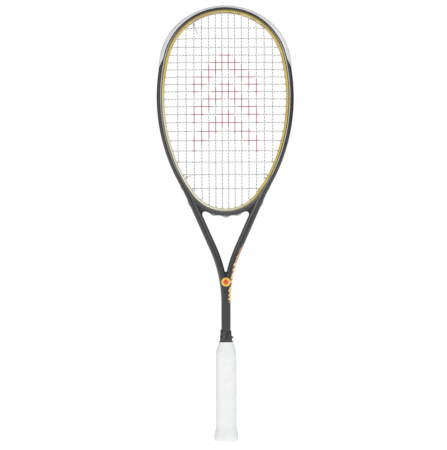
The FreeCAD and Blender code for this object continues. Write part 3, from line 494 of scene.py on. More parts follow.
def barrel(shape, port, side):
    """A grommet's barrel with a rounded lip and its bore."""
    outer, inner, sides, start = 1.5, 1.0, 16, 2.4
    length = (port.near - port.tip).length
    way = Vector((-side * port.way.x, 0, -port.way.z))
    back = Vector((0, 1, 0))
    across = way.cross(back)
    profile = [(start, outer), (length - 0.35, outer), (length - 0.1, outer - 0.1),
               (length, outer - 0.27), (length - 0.05, inner + 0.05), (length - 0.3, inner),
               (start, inner)]
    rows = []
    for inset, radius in profile:
        middle = port.at(inset, side)
        rows.append([shape.add(middle + (across * cos(t) + back * sin(t)) * radius)
                     for t in (2 * pi * i / sides for i in range(sides))])
    shape.grid(rows)


def bumper_section(z):
    """The bumper's section at that height: outside, two rounded shoulders and the channel."""
    thick = max(rebate(z), 0.12)
    channel, skin = min(1.9, 0.55 * thick), 0.15 * min(1, thick)
    # It is thickest at the shoulders of the head, where it swells outward.
    swell = SWELL * smooth(z, 578, 612) * (1 - smooth(z, 640, 684))
    proud = skin + swell - 0.5 * smooth(z, 670, 686)
    wide, deep = CORNER + proud, CORNER + skin
    last = acos(max(-1, (CORNER - thick) / wide))
    half = [(channel, 0), (channel, -2.6), (0.8 * channel, -2.8), (-proud, -2.95)]
    half += [(CORNER - wide * cos(last * i / 9), -5 - deep * sin(last * i / 9))
             for i in range(10)]
    half += [(thick, half[-1][1] + 0.2), (thick, -3), (thick, 0)]
    return with_mirror(half)


def bumper_mesh():
    """The bumper that wraps the top of the head, with the barrels of the top strings."""
    shape = Shape()
    covered = [s for s in EDGE if s.z > BUMPER_LOW - 1 and s.run < 300]

    def row(station, side):
        # Shallow notches across the shoulders, so that it bends.
        notch = 0.22 * smooth(cos(station.run * pi / 9), 0.8, 1)
        section = [(u + (notch if u < 1.2 and abs(y) > 3 else 0), y)
                   for u, y in bumper_section(station.z)]
        return [shape.add(station.place(u, y, side)) for u, y in section]

    both_sides(shape, lambda side: [row(station, side) for station in covered])
    tops = [pair[0] for pair in MAIN_PORTS] + [p for p in CROSS_PORTS if p.near.z > 593]
    for side, ports in ((1, tops), (-1, tops + [TIE_TOP])):
        for port in ports:
            barrel(shape, port, side)
    return weld(shape.piece("bumper_cover", "clear_nylon", ["bumper_guard"]))


# ---- the strings


def crossing_side(main, cross):
    """+1 where the main passes behind the cross, -1 where it passes in front."""
    return 1 if (main + cross) % 2 == 0 else -1


def inside(main, number):
    """Whether that main and that cross meet inside the head."""
    top, bottom = MAIN_PORTS[main]
    across = MAINS[main] < CROSS_PORTS[number].tip.x - CLEAR
    return across and bottom.tip.z + CLEAR < HEIGHTS[number] < top.tip.z - CLEAR


def half_index(signed):
    return signed if signed >= 0 else -signed - 1


EASY, SHARP = 60, 1.3  # how far each side of a corner the string starts to bend


def held(*spots):
    """Route points where the string bends sharply, in a hole."""
    return [(spot, SHARP) for spot in spots]


def main_run(signed, upward):
    side, index = (-1 if signed < 0 else 1), half_index(signed)
    top, bottom = MAIN_PORTS[index]
    route = held(bottom.at(DEPTH, side), bottom.mouth(side))
    for number, z in enumerate(HEIGHTS):
        if inside(index, number):
            lift = crossing_side(signed, number) * LIFT
            route.append((Vector((side * MAINS[index], lift, z)), EASY))
    route += held(top.mouth(side), top.at(DEPTH, side))
    return route if upward else route[::-1]


def cross_run(number, rightward):
    port, z = CROSS_PORTS[number], HEIGHTS[number]
    route = held(port.at(DEPTH, -1), port.mouth(-1))
    for signed in range(-7, 7):
        index = half_index(signed)
        if inside(index, number):
            x = copysign(MAINS[index], signed + 0.5)
            route.append((Vector((x, -crossing_side(signed, number) * LIFT, z)), EASY))
    route += held(port.mouth(1), port.at(DEPTH, 1))
    return route if rightward else route[::-1]


def under_bridge(x, y):
    return Vector((x, y, ring_height(RING_OUT - DEPTH, x)))


def groove_run(start, end, side, level=None):
    """Along the groove from one port to the next, drifting from track to track."""
    if start.bridge and end.bridge:
        xs = [start.tip.x + (end.tip.x - start.tip.x) * i / 4 for i in range(1, 4)]
        return [(under_bridge(side * x, start.track), EASY) for x in xs]
    runs = [nearest(p.near.x, p.near.z).run for p in (start, end)]
    count = max(2, round(abs(runs[1] - runs[0]) / 5))
    points = []
    for i in range(1, count):
        part = i / count
        station = at_run(runs[0] + (runs[1] - runs[0]) * part)
        y = start.track + (end.track - start.track) * part if level is None else level
        points.append((station.place(DEPTH, y, side), EASY))
    return points


def main_route():
    """From the top left knot, down and up through every main, to the top right."""
    route = held(TIE_TOP.mouth(-1), TIE_TOP.at(DEPTH, -1))
    route += groove_run(TIE_TOP, MAIN_PORTS[6][0], -1, 0)
    for signed in range(-7, 7):
        upward = (signed + 7) % 2 == 1
        route += main_run(signed, upward)
        end = 0 if upward else 1
        port = MAIN_PORTS[half_index(signed)][end]
        if signed == -1:
            route.append((under_bridge(0, port.track), EASY))
        elif signed < 6:
            after = MAIN_PORTS[half_index(signed + 1)][end]
            route += groove_run(port, after, -1 if signed < 0 else 1)
    seam = groove_run(MAIN_PORTS[6][0], CROSS_PORTS[-1], 1, 0)
    return route + seam[:1]


def cross_route():
    """From the top right, to and fro down every cross, to the bottom left knot."""
    route = groove_run(MAIN_PORTS[6][0], CROSS_PORTS[-1], 1, 0)
    rightward = False
    for number in reversed(range(CROSSES)):
        route += cross_run(number, rightward)
        if number:
            side = 1 if rightward else -1
            route += groove_run(CROSS_PORTS[number], CROSS_PORTS[number - 1], side)
        rightward = not rightward
    route += groove_run(CROSS_PORTS[0], TIE_LOW, -1)
    return route + held(TIE_LOW.at(DEPTH, -1), TIE_LOW.mouth(-1))


def bent(route, steps=5):
    """The route as a smooth line: a curve round each corner, as wide as its reach allows."""
    line = [route[0][0]]
    for (before, _), (corner, reach), (after, _) in zip(route, route[1:], route[2:]):
        come, go = corner - before, after - corner
        cut = min(reach, 0.5 * come.length, 0.5 * go.length)
        a, b = corner - come.normalized() * cut, corner + go.normalized() * cut
        for i in range(steps + 1):
            t = i / steps
            spot = a * (1 - t) ** 2 + corner * 2 * t * (1 - t) + b * t * t
            if (spot - line[-1]).length > 0.02:
                line.append(spot)
    line.append(route[-1][0])
    return line


def string_piece(name, node, line):
    """A round tube along the line, with its turn and its length in centimetres as UVs."""
    shape, rows, run, across, sides = Shape(), [], 0.0, None, 10
    turns = [2 * pi * k / sides for k in range(sides)]
    for i, spot in enumerate(line):
        way = (line[min(i + 1, len(line) - 1)] - line[max(i - 1, 0)]).normalized()
        if across is None:
            across = way.orthogonal().normalized()
        across = (across - way * across.dot(way)).normalized()
        other = way.cross(across)
        if i:
            run += (spot - line[i - 1]).length
        rows.append([
            shape.add(spot + (across * cos(t) + other * sin(t)) * STRING / 2,
                      uv=(k / sides, run / 10))
            for k, t in enumerate(turns)])
    shape.tube(rows)
    return shape.piece(name, "string_nylon", [node], sharp=50, with_uv=True)


def spline_points(points, steps=4):
    """A smooth line through the points."""
    line = []
    padded = [points[0] * 2 - points[1]] + points + [points[-1] * 2 - points[-2]]
    for p0, p1, p2, p3 in zip(padded, padded[1:], padded[2:], padded[3:]):
        for i in range(steps):
            t = i / steps
            line.append(0.5 * ((2 * p1) + (p2 - p0) * t + (2 * p0 - 5 * p1 + 4 * p2 - p3) * t * t
                               + (3 * p1 - p0 - 3 * p2 + p3) * t**3))
    return line + [points[-1]]


def knot_piece(name, node, tie, beside, following, tail, turns):
    """A tie-off: the string's end wound round a main, with the free tail sticking out."""
    mouth = beside.mouth(-1)
    way = (following - mouth).normalized()
    back_axis = Vector((0, 1, 0))
    back = (back_axis - way * back_axis.dot(way)).normalized()
    aside = way.cross(back)
    if (tail - mouth).dot(aside) < 0:
        aside = -aside
    start = tie.mouth(-1)
    points = [start, start + Vector((tie.way.x, 0, -tie.way.z)) * 0.6]
    radius, steps = STRING + 0.06, 12
    for i in range(int(turns * steps) + 1):
        t = 2 * pi * i / steps
        along = way * (1.75 + 1.3 * i / steps)
        points.append(mouth + along + back * cos(t) * radius - aside * sin(t) * radius)
    end = points[-1]
    points += [end.lerp(tail, 0.35) - back_axis * 0.5, end.lerp(tail, 0.7) - back_axis * 0.2, tail]
    return string_piece(name, node, spline_points(points))


def next_crossing(main, bottom):
    numbers = [number for number in range(CROSSES) if inside(main, number)]
    number = numbers[0] if bottom else numbers[-1]
    return Vector((-MAINS[main], crossing_side(-main - 1, number) * LIFT, HEIGHTS[number]))


# ---- the handle


def ring_points(width, depth, corner, z, per_corner=11, per_side=7):
    """A rounded rectangle's points about the handle's axis, anticlockwise from +X."""
    half_w, half_d, arcs, points = width / 2 - corner, depth / 2 - corner, [], []
    for number, (sx, sy) in enumerate(((1, 1), (-1, 1), (-1, -1), (1, -1))):
        turns = [radians(90 * (number + i / (per_corner - 1))) for i in range(per_corner)]
        arcs.append([Vector((sx * half_w + corner * cos(a), sy * half_d + corner * sin(a), z))
                     for a in turns])
    for arc, after in zip(arcs, arcs[1:] + arcs[:1]):
        points += arc + [arc[-1].lerp(after[0], i / (per_side + 1)) for i in range(1, per_side + 1)]
    return points


# The wrapped handle: height, width, depth and corner radius.
GRIP = [(1.2, 34.2, 30.0, 11), (1.7, 35.6, 31.2, 11.6), (2.5, 36.8, 32.4, 12),
        (4.0, 37.7, 33.2, 12), (6.0, 38, 33.5, 12), (10, 38, 33.5, 12), (14, 36.9, 32.5, 11.6),
        (20, 33.9, 29.8, 10.6), (26, 32.5, 28.5, 10), (140, 32.5, 28.5, 10), (158, 22.2, 25.3, 7.2)]
WRAP_PITCH = 25


def grip_size(z):
    """Width, depth and corner of the wrapped handle, eased over a few millimetres."""
    sizes, window = [], 2.5
    for shift in (-window, -window / 2, 0, window / 2, window):
        at = min(max(z + (shift if z > 12 else 0), GRIP[0][0]), GRIP[-1][0])
        low = max(row for row in GRIP if row[0] <= at)
        high = min((row for row in GRIP if row[0] > at), default=low)
        part = 0 if high is low else (at - low[0]) / (high[0] - low[0])
        sizes.append([a + (b - a) * part for a, b in zip(low[1:], high[1:])])
    return [sum(column) / len(sizes) for column in zip(*sizes)]


def drawn_in(shape, row, scale, rise):
    """A copy of a row of points, drawn in towards the handle's axis and raised."""
    spots = [shape.verts[k] for k in row]
    return [shape.add((p.x * scale, p.y * scale, p.z + rise)) for p in spots]


def grip_mesh():
    """The white replacement grip: one strip wound up the handle, each turn lapped a little."""
    shape, rows = Shape(), []
    heights = [1.2, 1.4, 1.7, 2.1, 2.5, 3.1, 4] + [4 + 0.5 * i for i in range(1, 309)]
    for z in heights:
        width, depth, corner = grip_size(z)
        ring = ring_points(width, depth, corner, z)
        row = []
        for i, p in enumerate(ring):
            turn = atan2(p.y, p.x) / (2 * pi)
            phase = (z / WRAP_PITCH - turn) % 1
            # The lap's edge is a soft step; the strip behind it eases back down.
            step = 0.30 * smooth(phase, 0, 0.02) * (1 - smooth(phase, 0.03, 0.2))
            crease = -0.22 * smooth(phase, 0.965, 0.99) * (1 - smooth(phase, 0.99, 1.0))
            lump = 0.10 * noise.noise(Vector((p.x * 0.09, p.y * 0.09, z * 0.05)))
            fade = smooth(z, 3, 9)
            out = Vector((p.x, p.y, 0)).normalized() * ((step + crease) * fade + lump)
            row.append(shape.add(p + out, phase))
        rows.append(row)
    shape.grid(rows)
    shape.grid([drawn_in(shape, rows[0], 0.86, 0.4), rows[0]])
    return shape.piece("grip_strip", "grip_polymer", ["grip_wrap"], sharp=60, numbers=True)


def underlay_mesh():
    """The thin cushion layer under the strip, hidden but complete."""
    shape, rows = Shape(), []
    levels = [26 + 4 * i for i in range(33)]
    for inset, heights in ((2.0, levels), (2.6, levels[::-1])):
        less = 2 * inset + 0.4
        for z in heights:
            width, depth, corner = grip_size(z)
            ring = ring_points(width - less, depth - less, corner - inset, z)
            rows.append([shape.add(p) for p in ring])
    shape.grid(rows + rows[:1])
    return shape.piece("underlay_sleeve", "underlay_felt", ["grip_underlay"], sharp=60)


def tape_mesh():
    """The finishing tape at the grip's top: lapped, wrinkled, with a slanted lower edge."""
    shape, rows = Shape(), []
    levels = 34
    for j in range(levels + 1):
        part = j / levels
        width, depth = 18.9 - 2.2 * part, 23.3 - 2.1 * part
        ring = ring_points(width, depth, 5.5, 0, per_corner=15, per_side=13)
        row = []
        for p in ring:
            turn = atan2(p.y, p.x)
            low = 157.3 - 1.7 * cos(turn) + 0.25 * sin(5 * turn)
            high = 175.6 - 1.1 * cos(turn) + 0.3 * sin(3 * turn + 1)
            z = low + (high - low) * part
            lap = 0.35 * smooth(sin(turn * 0.5 + z * 0.36), 0.55, 0.62)
            fold = noise.noise(Vector((p.x * 0.35, p.y * 0.35, z * 0.16 + 7)))
            crease = abs(noise.noise(Vector((p.x * 0.6 + z * 0.25, p.y * 0.6, z * 0.3))))
            out = Vector((p.x, p.y, 0)).normalized() * (lap + 0.5 * fold + 0.5 * (0.35 - crease))
            edge = 0.25 * (1 - smooth(part, 0, 0.06)) + 0.25 * smooth(part, 0.95, 1)
            row.append(shape.add(Vector((p.x, p.y, z)) + out * (1 - edge)))
        rows.append(row)
    for row, rise in ((rows[-1], -0.3), (rows[0], 0.3)):
        shape.grid([row, drawn_in(shape, row, 0.93, rise)], flip=rise > 0)
    shape.grid(rows)
    # The tape's free end sticks out on the right as a small curled point.
    flap, thick = [], 0.45
    for face in (-1, 1):
        line = []
        for i in range(9):
            part = i / 8
            x = 7.2 + 4.9 * part
            low, high = 161.6 + 2.6 * part, 169.4 - 5.0 * part
            for k in range(5):
                z = low + (high - low) * k / 4
                curl = 1.1 * part * part + 0.3 * sin(k * 1.3 + part * 3)
                line.append(shape.add((x, -1.2 + face * thick / 2 * (1 - 0.5 * part) + curl, z)))
        flap.append([line[5 * i:5 * i + 5] for i in range(9)])
    shape.grid(flap[0], closed=False, flip=True)
    shape.grid(flap[1], closed=False)
    rims = [[row[0] for row in side] + side[-1][1:] + [row[4] for row in side[-2::-1]]
            for side in flap]
    shape.grid(rims, closed=False)
    return shape.piece("tape_wrap", "black_tape", ["finishing_tape"], sharp=45)


def fleck_mesh(side):
    """A thin film along the shaft's outer edge that carries the coloured flecks."""
    shape, rows = Shape(), []
    for station in (s for s in FINE[::4] if 218 < s.z < 316):
        row = [(0, -2.5), (0, -3.8)] + [
            (CORNER - CORNER * cos(radians(t)), -5 - CORNER * sin(radians(t)))
            for t in range(0, 91, 6)] + [(5.2, -HALF_DEPTH)]
        z = station.z
        proud = 0.12 * smooth(z, 218, 221) * (1 - smooth(z, 312, 316))
        rows.append([shape.add(station.place(u - proud, y - (proud if u > 0.5 else 0), side), u)
                     for u, y in row])
    shape.grid(rows, closed=False, flip=side < 0)
    word = "right" if side > 0 else "left"
    return shape.piece("fleck_film_" + word, "fleck_film", ["shaft_flecks_" + word], sharp=60,
                       numbers=True)


# ---- materials


class Paint:
    """A material and short ways to add its nodes."""

    def __init__(self, name, **settings):
        self.material = bpy.data.materials.new(name)
        self.material.use_nodes = True
        self.tree = self.material.node_tree
        self.shader = self.tree.nodes["Principled BSDF"]
        for label, value in settings.items():
            self.shader.inputs[label.replace("_", " ")].default_value = value
        self.place = self.new("ShaderNodeTexCoord").outputs["Object"]

    def new(self, kind):
        return self.tree.nodes.new(kind)

    def join(self, value, socket):
        if isinstance(value, bpy.types.NodeSocket):
            self.tree.links.new(value, socket)
        elif value is not None:
            socket.default_value = value

    def math(self, operation, a, b=None):
        node = self.new("ShaderNodeMath")
        node.operation = operation
        self.join(a, node.inputs[0])
        self.join(b, node.inputs[1])
        return node.outputs[0]

    def times(self, value, *others):
        for other in others:
            value = self.math("MULTIPLY", value, other)
        return value

    def attribute(self, name):
        node = self.new("ShaderNodeAttribute")
        node.attribute_name = name
        return node.outputs["Fac"]

    def axes(self, source=None):
        node = self.new("ShaderNodeSeparateXYZ")
        self.join(source or self.place, node.inputs[0])
        return node.outputs

    def placed(self, kind, source=None, **settings):
        """A node that reads source, or the place on the object."""
        node = self.new(kind)
        self.join(source or self.place, node.inputs["Vector"])
        for label, value in settings.items():
            node.inputs[label].default_value = value
        return node

    def scaled(self, scale):
        return self.placed("ShaderNodeMapping", Scale=scale).outputs[0]

    def noise(self, scale, detail, source=None, rough=0.5):
        return self.placed("ShaderNodeTexNoise", source, Scale=scale, Detail=detail,
                           Roughness=rough).outputs["Fac"]

    def mottle(self, scale, detail, start=0.0, end=1.0):
        """A noise spread evenly from start to end."""
        return self.between(self.noise(scale, detail), 0.3, 0.7, start, end)

    def between(self, value, low, high, start=0.0, end=1.0):
        """value's way from low to high, as a number from start to end."""
        node = self.new("ShaderNodeMapRange")
        node.interpolation_type = "SMOOTHSTEP"
        for item, socket in zip((value, low, high, start, end), node.inputs):
            self.join(item, socket)
        return node.outputs[0]

    def pulse(self, value, low, high, soft):
        """1 from low to high, and 0 outside with soft edges."""
        return self.times(self.between(value, low - soft, low + soft),
                          self.between(value, high - soft, high + soft, 1, 0))

    def mix(self, factor, a, b):
        node = self.new("ShaderNodeMix")
        node.data_type = "RGBA"
        self.join(factor, node.inputs[0])
        for value, socket in ((a, node.inputs[6]), (b, node.inputs[7])):
            self.join((*value, 1) if isinstance(value, tuple) else value, socket)
        return node.outputs[2]

    def finish(self, colour, roughness=None, *bumps):
        """The material with its colour, roughness and bumps: (height, strength, metres)."""
        self.join(colour, self.shader.inputs["Base Color"])
        self.join(roughness, self.shader.inputs["Roughness"])
        normal = None
        for values in bumps:
            node = self.new("ShaderNodeBump")
            for label, value in zip(("Height", "Strength", "Distance"), values):
                self.join(value, node.inputs[label])
            if normal:
                self.join(normal, node.inputs["Normal"])
            normal = node.outputs[0]
            self.join(normal, self.shader.inputs["Normal"])
        return self.material


CHARCOAL, CHARCOAL_DARK = (0.024, 0.025, 0.027), (0.014, 0.015, 0.017)
SHINE = (0.075, 0.078, 0.082)
# The silver is a painted highlight; the pewter and cream are olive and gold paled by painted glare.
HIGHLIGHT_SILVER, OLIVE, GLARE_PEWTER = (0.44, 0.44, 0.41), (0.13, 0.10, 0.025), (0.15, 0.15, 0.13)
GOLD, GOLD_DEEP, GLARE_CREAM = (0.72, 0.54, 0.10), (0.60, 0.41, 0.05), (0.78, 0.76, 0.57)
# The dark brown is painted shade on the inner wall; the red is an accent in it.
WALL_SHADE_BROWN, ACCENT_RED = (0.06, 0.028, 0.004), (0.26, 0.08, 0.006)


def charcoal(paint):
    """The frame's dark base: fine metallic grain and slow changes of tone."""
    base = paint.mix(paint.between(paint.noise(14, 3), 0.35, 0.65), CHARCOAL_DARK, CHARCOAL)
    return paint.mix(paint.between(paint.noise(2600, 2), 0.62, 0.72, 0.0, 0.35), base, SHINE)


def frame_paint():
    """Charcoal, with a painted highlight line and a gold band towards the strings, in
    millimetres of the inset from the outer edge. Painted glare pales it at the lower left,
    and painted shade darkens the inner wall round the top."""
    paint = Paint("charcoal_and_gold_lacquer", Coat_Weight=0.45, Coat_Roughness=0.1)
    inset, band, line = [paint.attribute(n) for n in ("inset", "band", "line")]
    x, y, z = paint.axes()
    # The light line, a painted highlight, is crisp round the head and a soft, faint band down the
    # shafts.
    crisp, soft = paint.pulse(inset, 5.6, 7.1, 0.35), paint.pulse(inset, 5.6, 8.2, 1.2)
    painted_highlight = paint.math("MAXIMUM", paint.times(crisp, band),
                        paint.times(soft, paint.between(band, 0, 1, 0.6, 0)))
    # The colours are deep at the top and on the right, and paled at the lower left by painted
    # glare, where the light falls; the painted highlight is dimmer there.
    way = paint.math("ADD", paint.times(x, 0.8), paint.times(paint.math("SUBTRACT", z, 0.52), 0.65))
    pale = paint.between(way, -0.11, -0.03, 0.85, 0.0)
    highlight_amount = paint.times(painted_highlight, line, paint.between(way, -0.11, -0.03, 0.5, 1.0))
    base = paint.mix(highlight_amount, charcoal(paint), HIGHLIGHT_SILVER)
    olive = paint.times(paint.between(inset, 7.1, 7.4), band)
    # The olive line pales towards pewter at the lower left: painted glare.
    base = paint.mix(olive, base, paint.mix(pale, OLIVE, GLARE_PEWTER))
    # The gold's outer border is sharp at the sides and melts into olive over the top.
    border = paint.mix(paint.between(z, 0.6, 0.655), paint.between(inset, 8.5, 8.85),
                       paint.between(inset, 8.3, 10.5))
    # The gold pales towards cream at the lower left: painted glare.
    gold = paint.mix(pale, paint.mix(paint.mottle(30, 3), GOLD, GOLD_DEEP), GLARE_CREAM)
    base = paint.mix(paint.times(border, band), base, gold)
    # Broken brown dashes along the inner wall, only round the top of the head: painted shade of
    # the wall that faces down, with a red accent in it.
    dashes = paint.noise(120, 1)
    wall_shade_and_accent = paint.times(paint.pulse(y, -0.0075, 0.0085, 0.0003), paint.between(inset, 10.6, 10.9),
                       paint.between(z, 0.648, 0.651), paint.between(dashes, 0.4, 0.47))
    shade_brown_to_red = paint.mix(paint.between(dashes, 0.45, 0.62), WALL_SHADE_BROWN, ACCENT_RED)
    return paint.finish(paint.mix(wall_shade_and_accent, base, shade_brown_to_red), paint.mottle(60, 4, 0.26, 0.4),
                        (paint.noise(900, 2), 0.12, 0.00004))


def corner_shade_lacquer():
    # Darker than the frame's charcoal, for the webs in the throat's corners: painted shade of the
    # recessed corners.
    paint = Paint("black_lacquer_with_painted_shade", Coat_Weight=0.2, Coat_Roughness=0.2, Specular_IOR_Level=0.3)
    colour = paint.mix(paint.mottle(40, 3), (0.007, 0.007, 0.008), (0.013, 0.013, 0.015))
    return paint.finish(colour, paint.mottle(60, 4, 0.3, 0.45),
                        (paint.noise(900, 2), 0.12, 0.00004))


def clear_nylon():
    paint = Paint("milky_nylon", IOR=1.5, Transmission_Weight=0.15, Subsurface_Weight=0.2,
                  Subsurface_Radius=(0.004, 0.004, 0.004), Subsurface_Scale=1.0)
    colour = paint.mix(paint.mottle(45, 4), (0.76, 0.76, 0.78), (0.84, 0.84, 0.86))
    return paint.finish(colour, paint.mottle(160, 4, 0.34, 0.52),
                        (paint.noise(700, 4), 0.25, 0.00006))


def string_nylon():
    """A white braid with a dark tracer, and three chevrons stencilled across the strings."""
    paint = Paint("braided_string", Coat_Weight=0.25, Coat_Roughness=0.2)
    turn, run, _ = paint.axes(paint.new("ShaderNodeUVMap").outputs[0])
    round_it, along = paint.times(turn, 8 * pi), paint.times(run, 20 * pi)
    waves = [paint.math("SINE", paint.math(way, round_it, along)) for way in ("ADD", "SUBTRACT")]
    braid = paint.math("MAXIMUM", *waves)
    # The braid's grooves are painted darker than its strands: painted shade between the strands.
    white = paint.mix(paint.between(braid, -0.4, 0.9), (0.60, 0.60, 0.61), (0.78, 0.78, 0.79))
    # The tracer winds round the string once in 5.2 mm.
    spiral = paint.math("FRACT", paint.math("ADD", turn, paint.times(run, 1.92)))
    white = paint.mix(paint.pulse(spiral, 0.27, 0.6, 0.03), white, (0.045, 0.045, 0.05))
    x, _, z = paint.axes()
    off = paint.math("ABSOLUTE", x)
    ragged = paint.times(paint.math("SUBTRACT", paint.noise(260, 3), 0.5), 0.004)
    slope = paint.math("ADD", paint.math("ADD", z, paint.times(off, 0.9)), ragged)
    low, middle, high = [paint.pulse(slope, z0, z0 + 0.026, 0.0006) for z0 in (0.5, 0.545, 0.59)]
    chevrons = paint.math("MAXIMUM", paint.math("MAXIMUM", low, middle), high)
    ink = paint.times(chevrons, paint.between(off, 0.0525, 0.0535, 1, 0),
                      paint.between(paint.noise(900, 2), 0.25, 0.4, 0.75, 1.0))
    return paint.finish(paint.mix(ink, white, (0.36, 0.022, 0.055)),
                        paint.between(braid, -0.4, 0.9, 0.5, 0.34), (braid, 0.35, 0.00005))


def grip_polymer():
    """White and slightly tacky, with fine pores. The inset attribute is the way across the
    strip, from 0 to 1."""
    paint = Paint("tacky_white_grip", Sheen_Weight=0.15, Sheen_Roughness=0.5)
    base = paint.mix(paint.mottle(55, 4), (0.80, 0.815, 0.82), (0.835, 0.845, 0.85))
    # The lap's edge is a hair darker, from its shade and a little dirt.
    seam = paint.pulse(paint.attribute("inset"), 0.972, 0.995, 0.008)
    base = paint.mix(paint.times(seam, 0.15), base, (0.62, 0.63, 0.63))
    pores = paint.placed("ShaderNodeTexVoronoi", Scale=620).outputs["Distance"]
    colour = paint.mix(paint.between(pores, 0.0, 0.22, 0.10, 0.0), base, (0.6, 0.61, 0.62))
    return paint.finish(colour, paint.mottle(300, 3, 0.5, 0.66),
                        (paint.between(pores, 0.0, 0.3), 0.3, 0.00008),
                        (paint.noise(1500, 3), 0.15, 0.00005))


def black_tape():
    """Glossy vinyl, scuffed and wrinkled along its length."""
    paint = Paint("black_vinyl_tape", Coat_Weight=0.6, Coat_Roughness=0.08)
    tone = paint.noise(240, 5, paint.scaled((1, 1, 0.45)))
    base = paint.mix(paint.between(tone, 0.35, 0.65), (0.008, 0.008, 0.009), (0.026, 0.027, 0.03))
    scuff = paint.between(paint.noise(900, 3, paint.scaled((0.4, 0.4, 2))), 0.62, 0.7, 0.0, 0.3)
    wrinkles = paint.noise(170, 4, paint.scaled((1.4, 1.4, 0.6)))
    return paint.finish(paint.mix(scuff, base, (0.10, 0.10, 0.105)),
                        paint.between(tone, 0.3, 0.7, 0.22, 0.42),
                        (wrinkles, 0.8, 0.0011), (paint.noise(900, 3), 0.2, 0.0001))


def badge_film():
    """Plain rings of colour: gold outside, a pale line and an orange-red middle."""
    paint = Paint("badge_film", Coat_Weight=0.5, Coat_Roughness=0.08, Roughness=0.3)
    x, _, z = paint.axes()
    across = paint.math("DIVIDE", x, 0.00695)
    along = paint.math("DIVIDE", paint.math("SUBTRACT", z, 0.252), 0.007)
    far = paint.math("ADD", paint.times(across, across), paint.times(along, along))
    far = paint.math("SQRT", far)
    gold = paint.mix(paint.mottle(700, 3), (0.80, 0.48, 0.06), (0.88, 0.58, 0.10))
    pale = paint.mix(paint.pulse(far, 0.60, 0.70, 0.03), gold, (0.92, 0.58, 0.12))
    red = paint.mix(paint.between(far, 0.1, 0.6), (0.72, 0.055, 0.008), (0.78, 0.16, 0.02))
    return paint.finish(paint.mix(paint.between(far, 0.58, 0.63, 1, 0), pale, red), None,
                        (paint.between(far, 0.9, 1.0, 1, 0), 0.4, 0.0001))


def fleck_film():
    """Torn flecks of pale orange over the frame's charcoal; on the left shaft they are painted
    fewer, darker and fainter, as painted shade.
    """
    paint = Paint("fleck_film", Coat_Weight=0.6, Coat_Roughness=0.08, Roughness=0.32)
    inset = paint.attribute("inset")
    x, _, z = paint.axes()
    slant = paint.new("ShaderNodeCombineXYZ")
    paint.join(paint.math("ADD", z, paint.times(inset, 0.0012)), slant.inputs[2])
    torn = paint.noise(150, 5, slant.outputs[0], 0.7)
    # right is 1 on the right shaft; the left shaft's flecks are painted fewer, darker and fainter:
    # painted shade of the side away from the light.
    right = paint.between(x, -0.001, 0.001)
    reach = paint.times(paint.between(torn, 0.36, 0.62, 0.7, 4.4),
                        paint.between(right, 0, 1, 0.3, 1))
    fleck = paint.between(paint.math("SUBTRACT", reach, inset), -0.12, 0.12)
    # Gold near the neck, then cream and orange, then brown up the shaft.
    warm = paint.between(paint.noise(320, 4), 0.4, 0.62)
    warm = paint.mix(warm, (0.95, 0.74, 0.36), (0.66, 0.27, 0.07))
    warm = paint.mix(paint.between(z, 0.225, 0.265), (0.90, 0.60, 0.18), warm)
    warm = paint.mix(paint.between(z, 0.285, 0.3), warm, (0.45, 0.17, 0.07))
    # The left shaft's flecks are darkened and faded: painted shade.
    colour = paint.mix(right, paint.mix(0.5, warm, (0.30, 0.10, 0.07)), warm)
    strength = paint.times(fleck, paint.between(right, 0, 1, 0.55, 1.0),
                           paint.between(z, 0.2185, 0.2225), paint.between(z, 0.30, 0.315, 1, 0))
    return paint.finish(paint.mix(strength, charcoal(paint), colour))


def moulded(name, dark, light, rough, grain=500, **more):
    """A moulded part's finish: two near tones, varied roughness and a fine grain."""
    paint = Paint(name, **more)
    return paint.finish(paint.mix(paint.mottle(grain * 0.2, 4), dark, light),
                        paint.mottle(grain * 0.5, 3, rough - 0.08, rough + 0.08),
                        (paint.noise(grain, 4), 0.3, 0.0001))


# ---- putting it together


def finish_all(finish, *pieces):
    """Gives one finish to pieces, or to the CAD nodes of those names."""
    for piece in pieces:
        materials = (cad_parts[piece] if isinstance(piece, str) else piece).data.materials
        materials.clear()
        materials.append(finish)


finish_all(frame_paint(), frame_mesh(), bridge_mesh())
finish_all(corner_shade_lacquer(), throat_web(1), throat_web(-1), crotch_web())
finish_all(moulded("grey_nylon", (0.40, 0.40, 0.41), (0.52, 0.52, 0.53), 0.45, 600), guard_pads())
finish_all(clear_nylon(), bumper_mesh(), "side_grommets_right", "side_grommets_left",
           "corner_grommets_right", "corner_grommets_left", "throat_grommets")
finish_all(
    string_nylon(),
    string_piece("string_mains", "main_string", bent(main_route())),
    string_piece("string_crosses", "cross_string", bent(cross_route())),
    knot_piece("tie_off_top", "knot_top", TIE_TOP, MAIN_PORTS[4][0],
               next_crossing(4, False), Vector((-42.7, -3.2, 641.5)), 2.5),
    knot_piece("tie_off_bottom", "knot_bottom", TIE_LOW, MAIN_PORTS[5][1],
               next_crossing(5, True), Vector((-53.5, -3.2, 418.5)), 1.5))
finish_all(grip_polymer(), grip_mesh())
finish_all(moulded("cushion_felt", (0.10, 0.10, 0.11), (0.16, 0.16, 0.17), 0.9, 1500),
           underlay_mesh())
finish_all(black_tape(), tape_mesh())
finish_all(fleck_film(), fleck_mesh(1), fleck_mesh(-1))
finish_all(badge_film(), "throat_badge_front", "throat_badge_back")
finish_all(moulded("handle_foam", (0.42, 0.38, 0.28), (0.52, 0.47, 0.35), 0.85, 900),
           "bridge_core", "handle_pallet", "tail_bung")
finish_all(moulded("cap_plastic", (0.74, 0.75, 0.76), (0.80, 0.81, 0.82), 0.5), "butt_cap")
finish_all(moulded("plug_plastic", (0.03, 0.03, 0.033), (0.055, 0.055, 0.06), 0.42), "butt_plug")
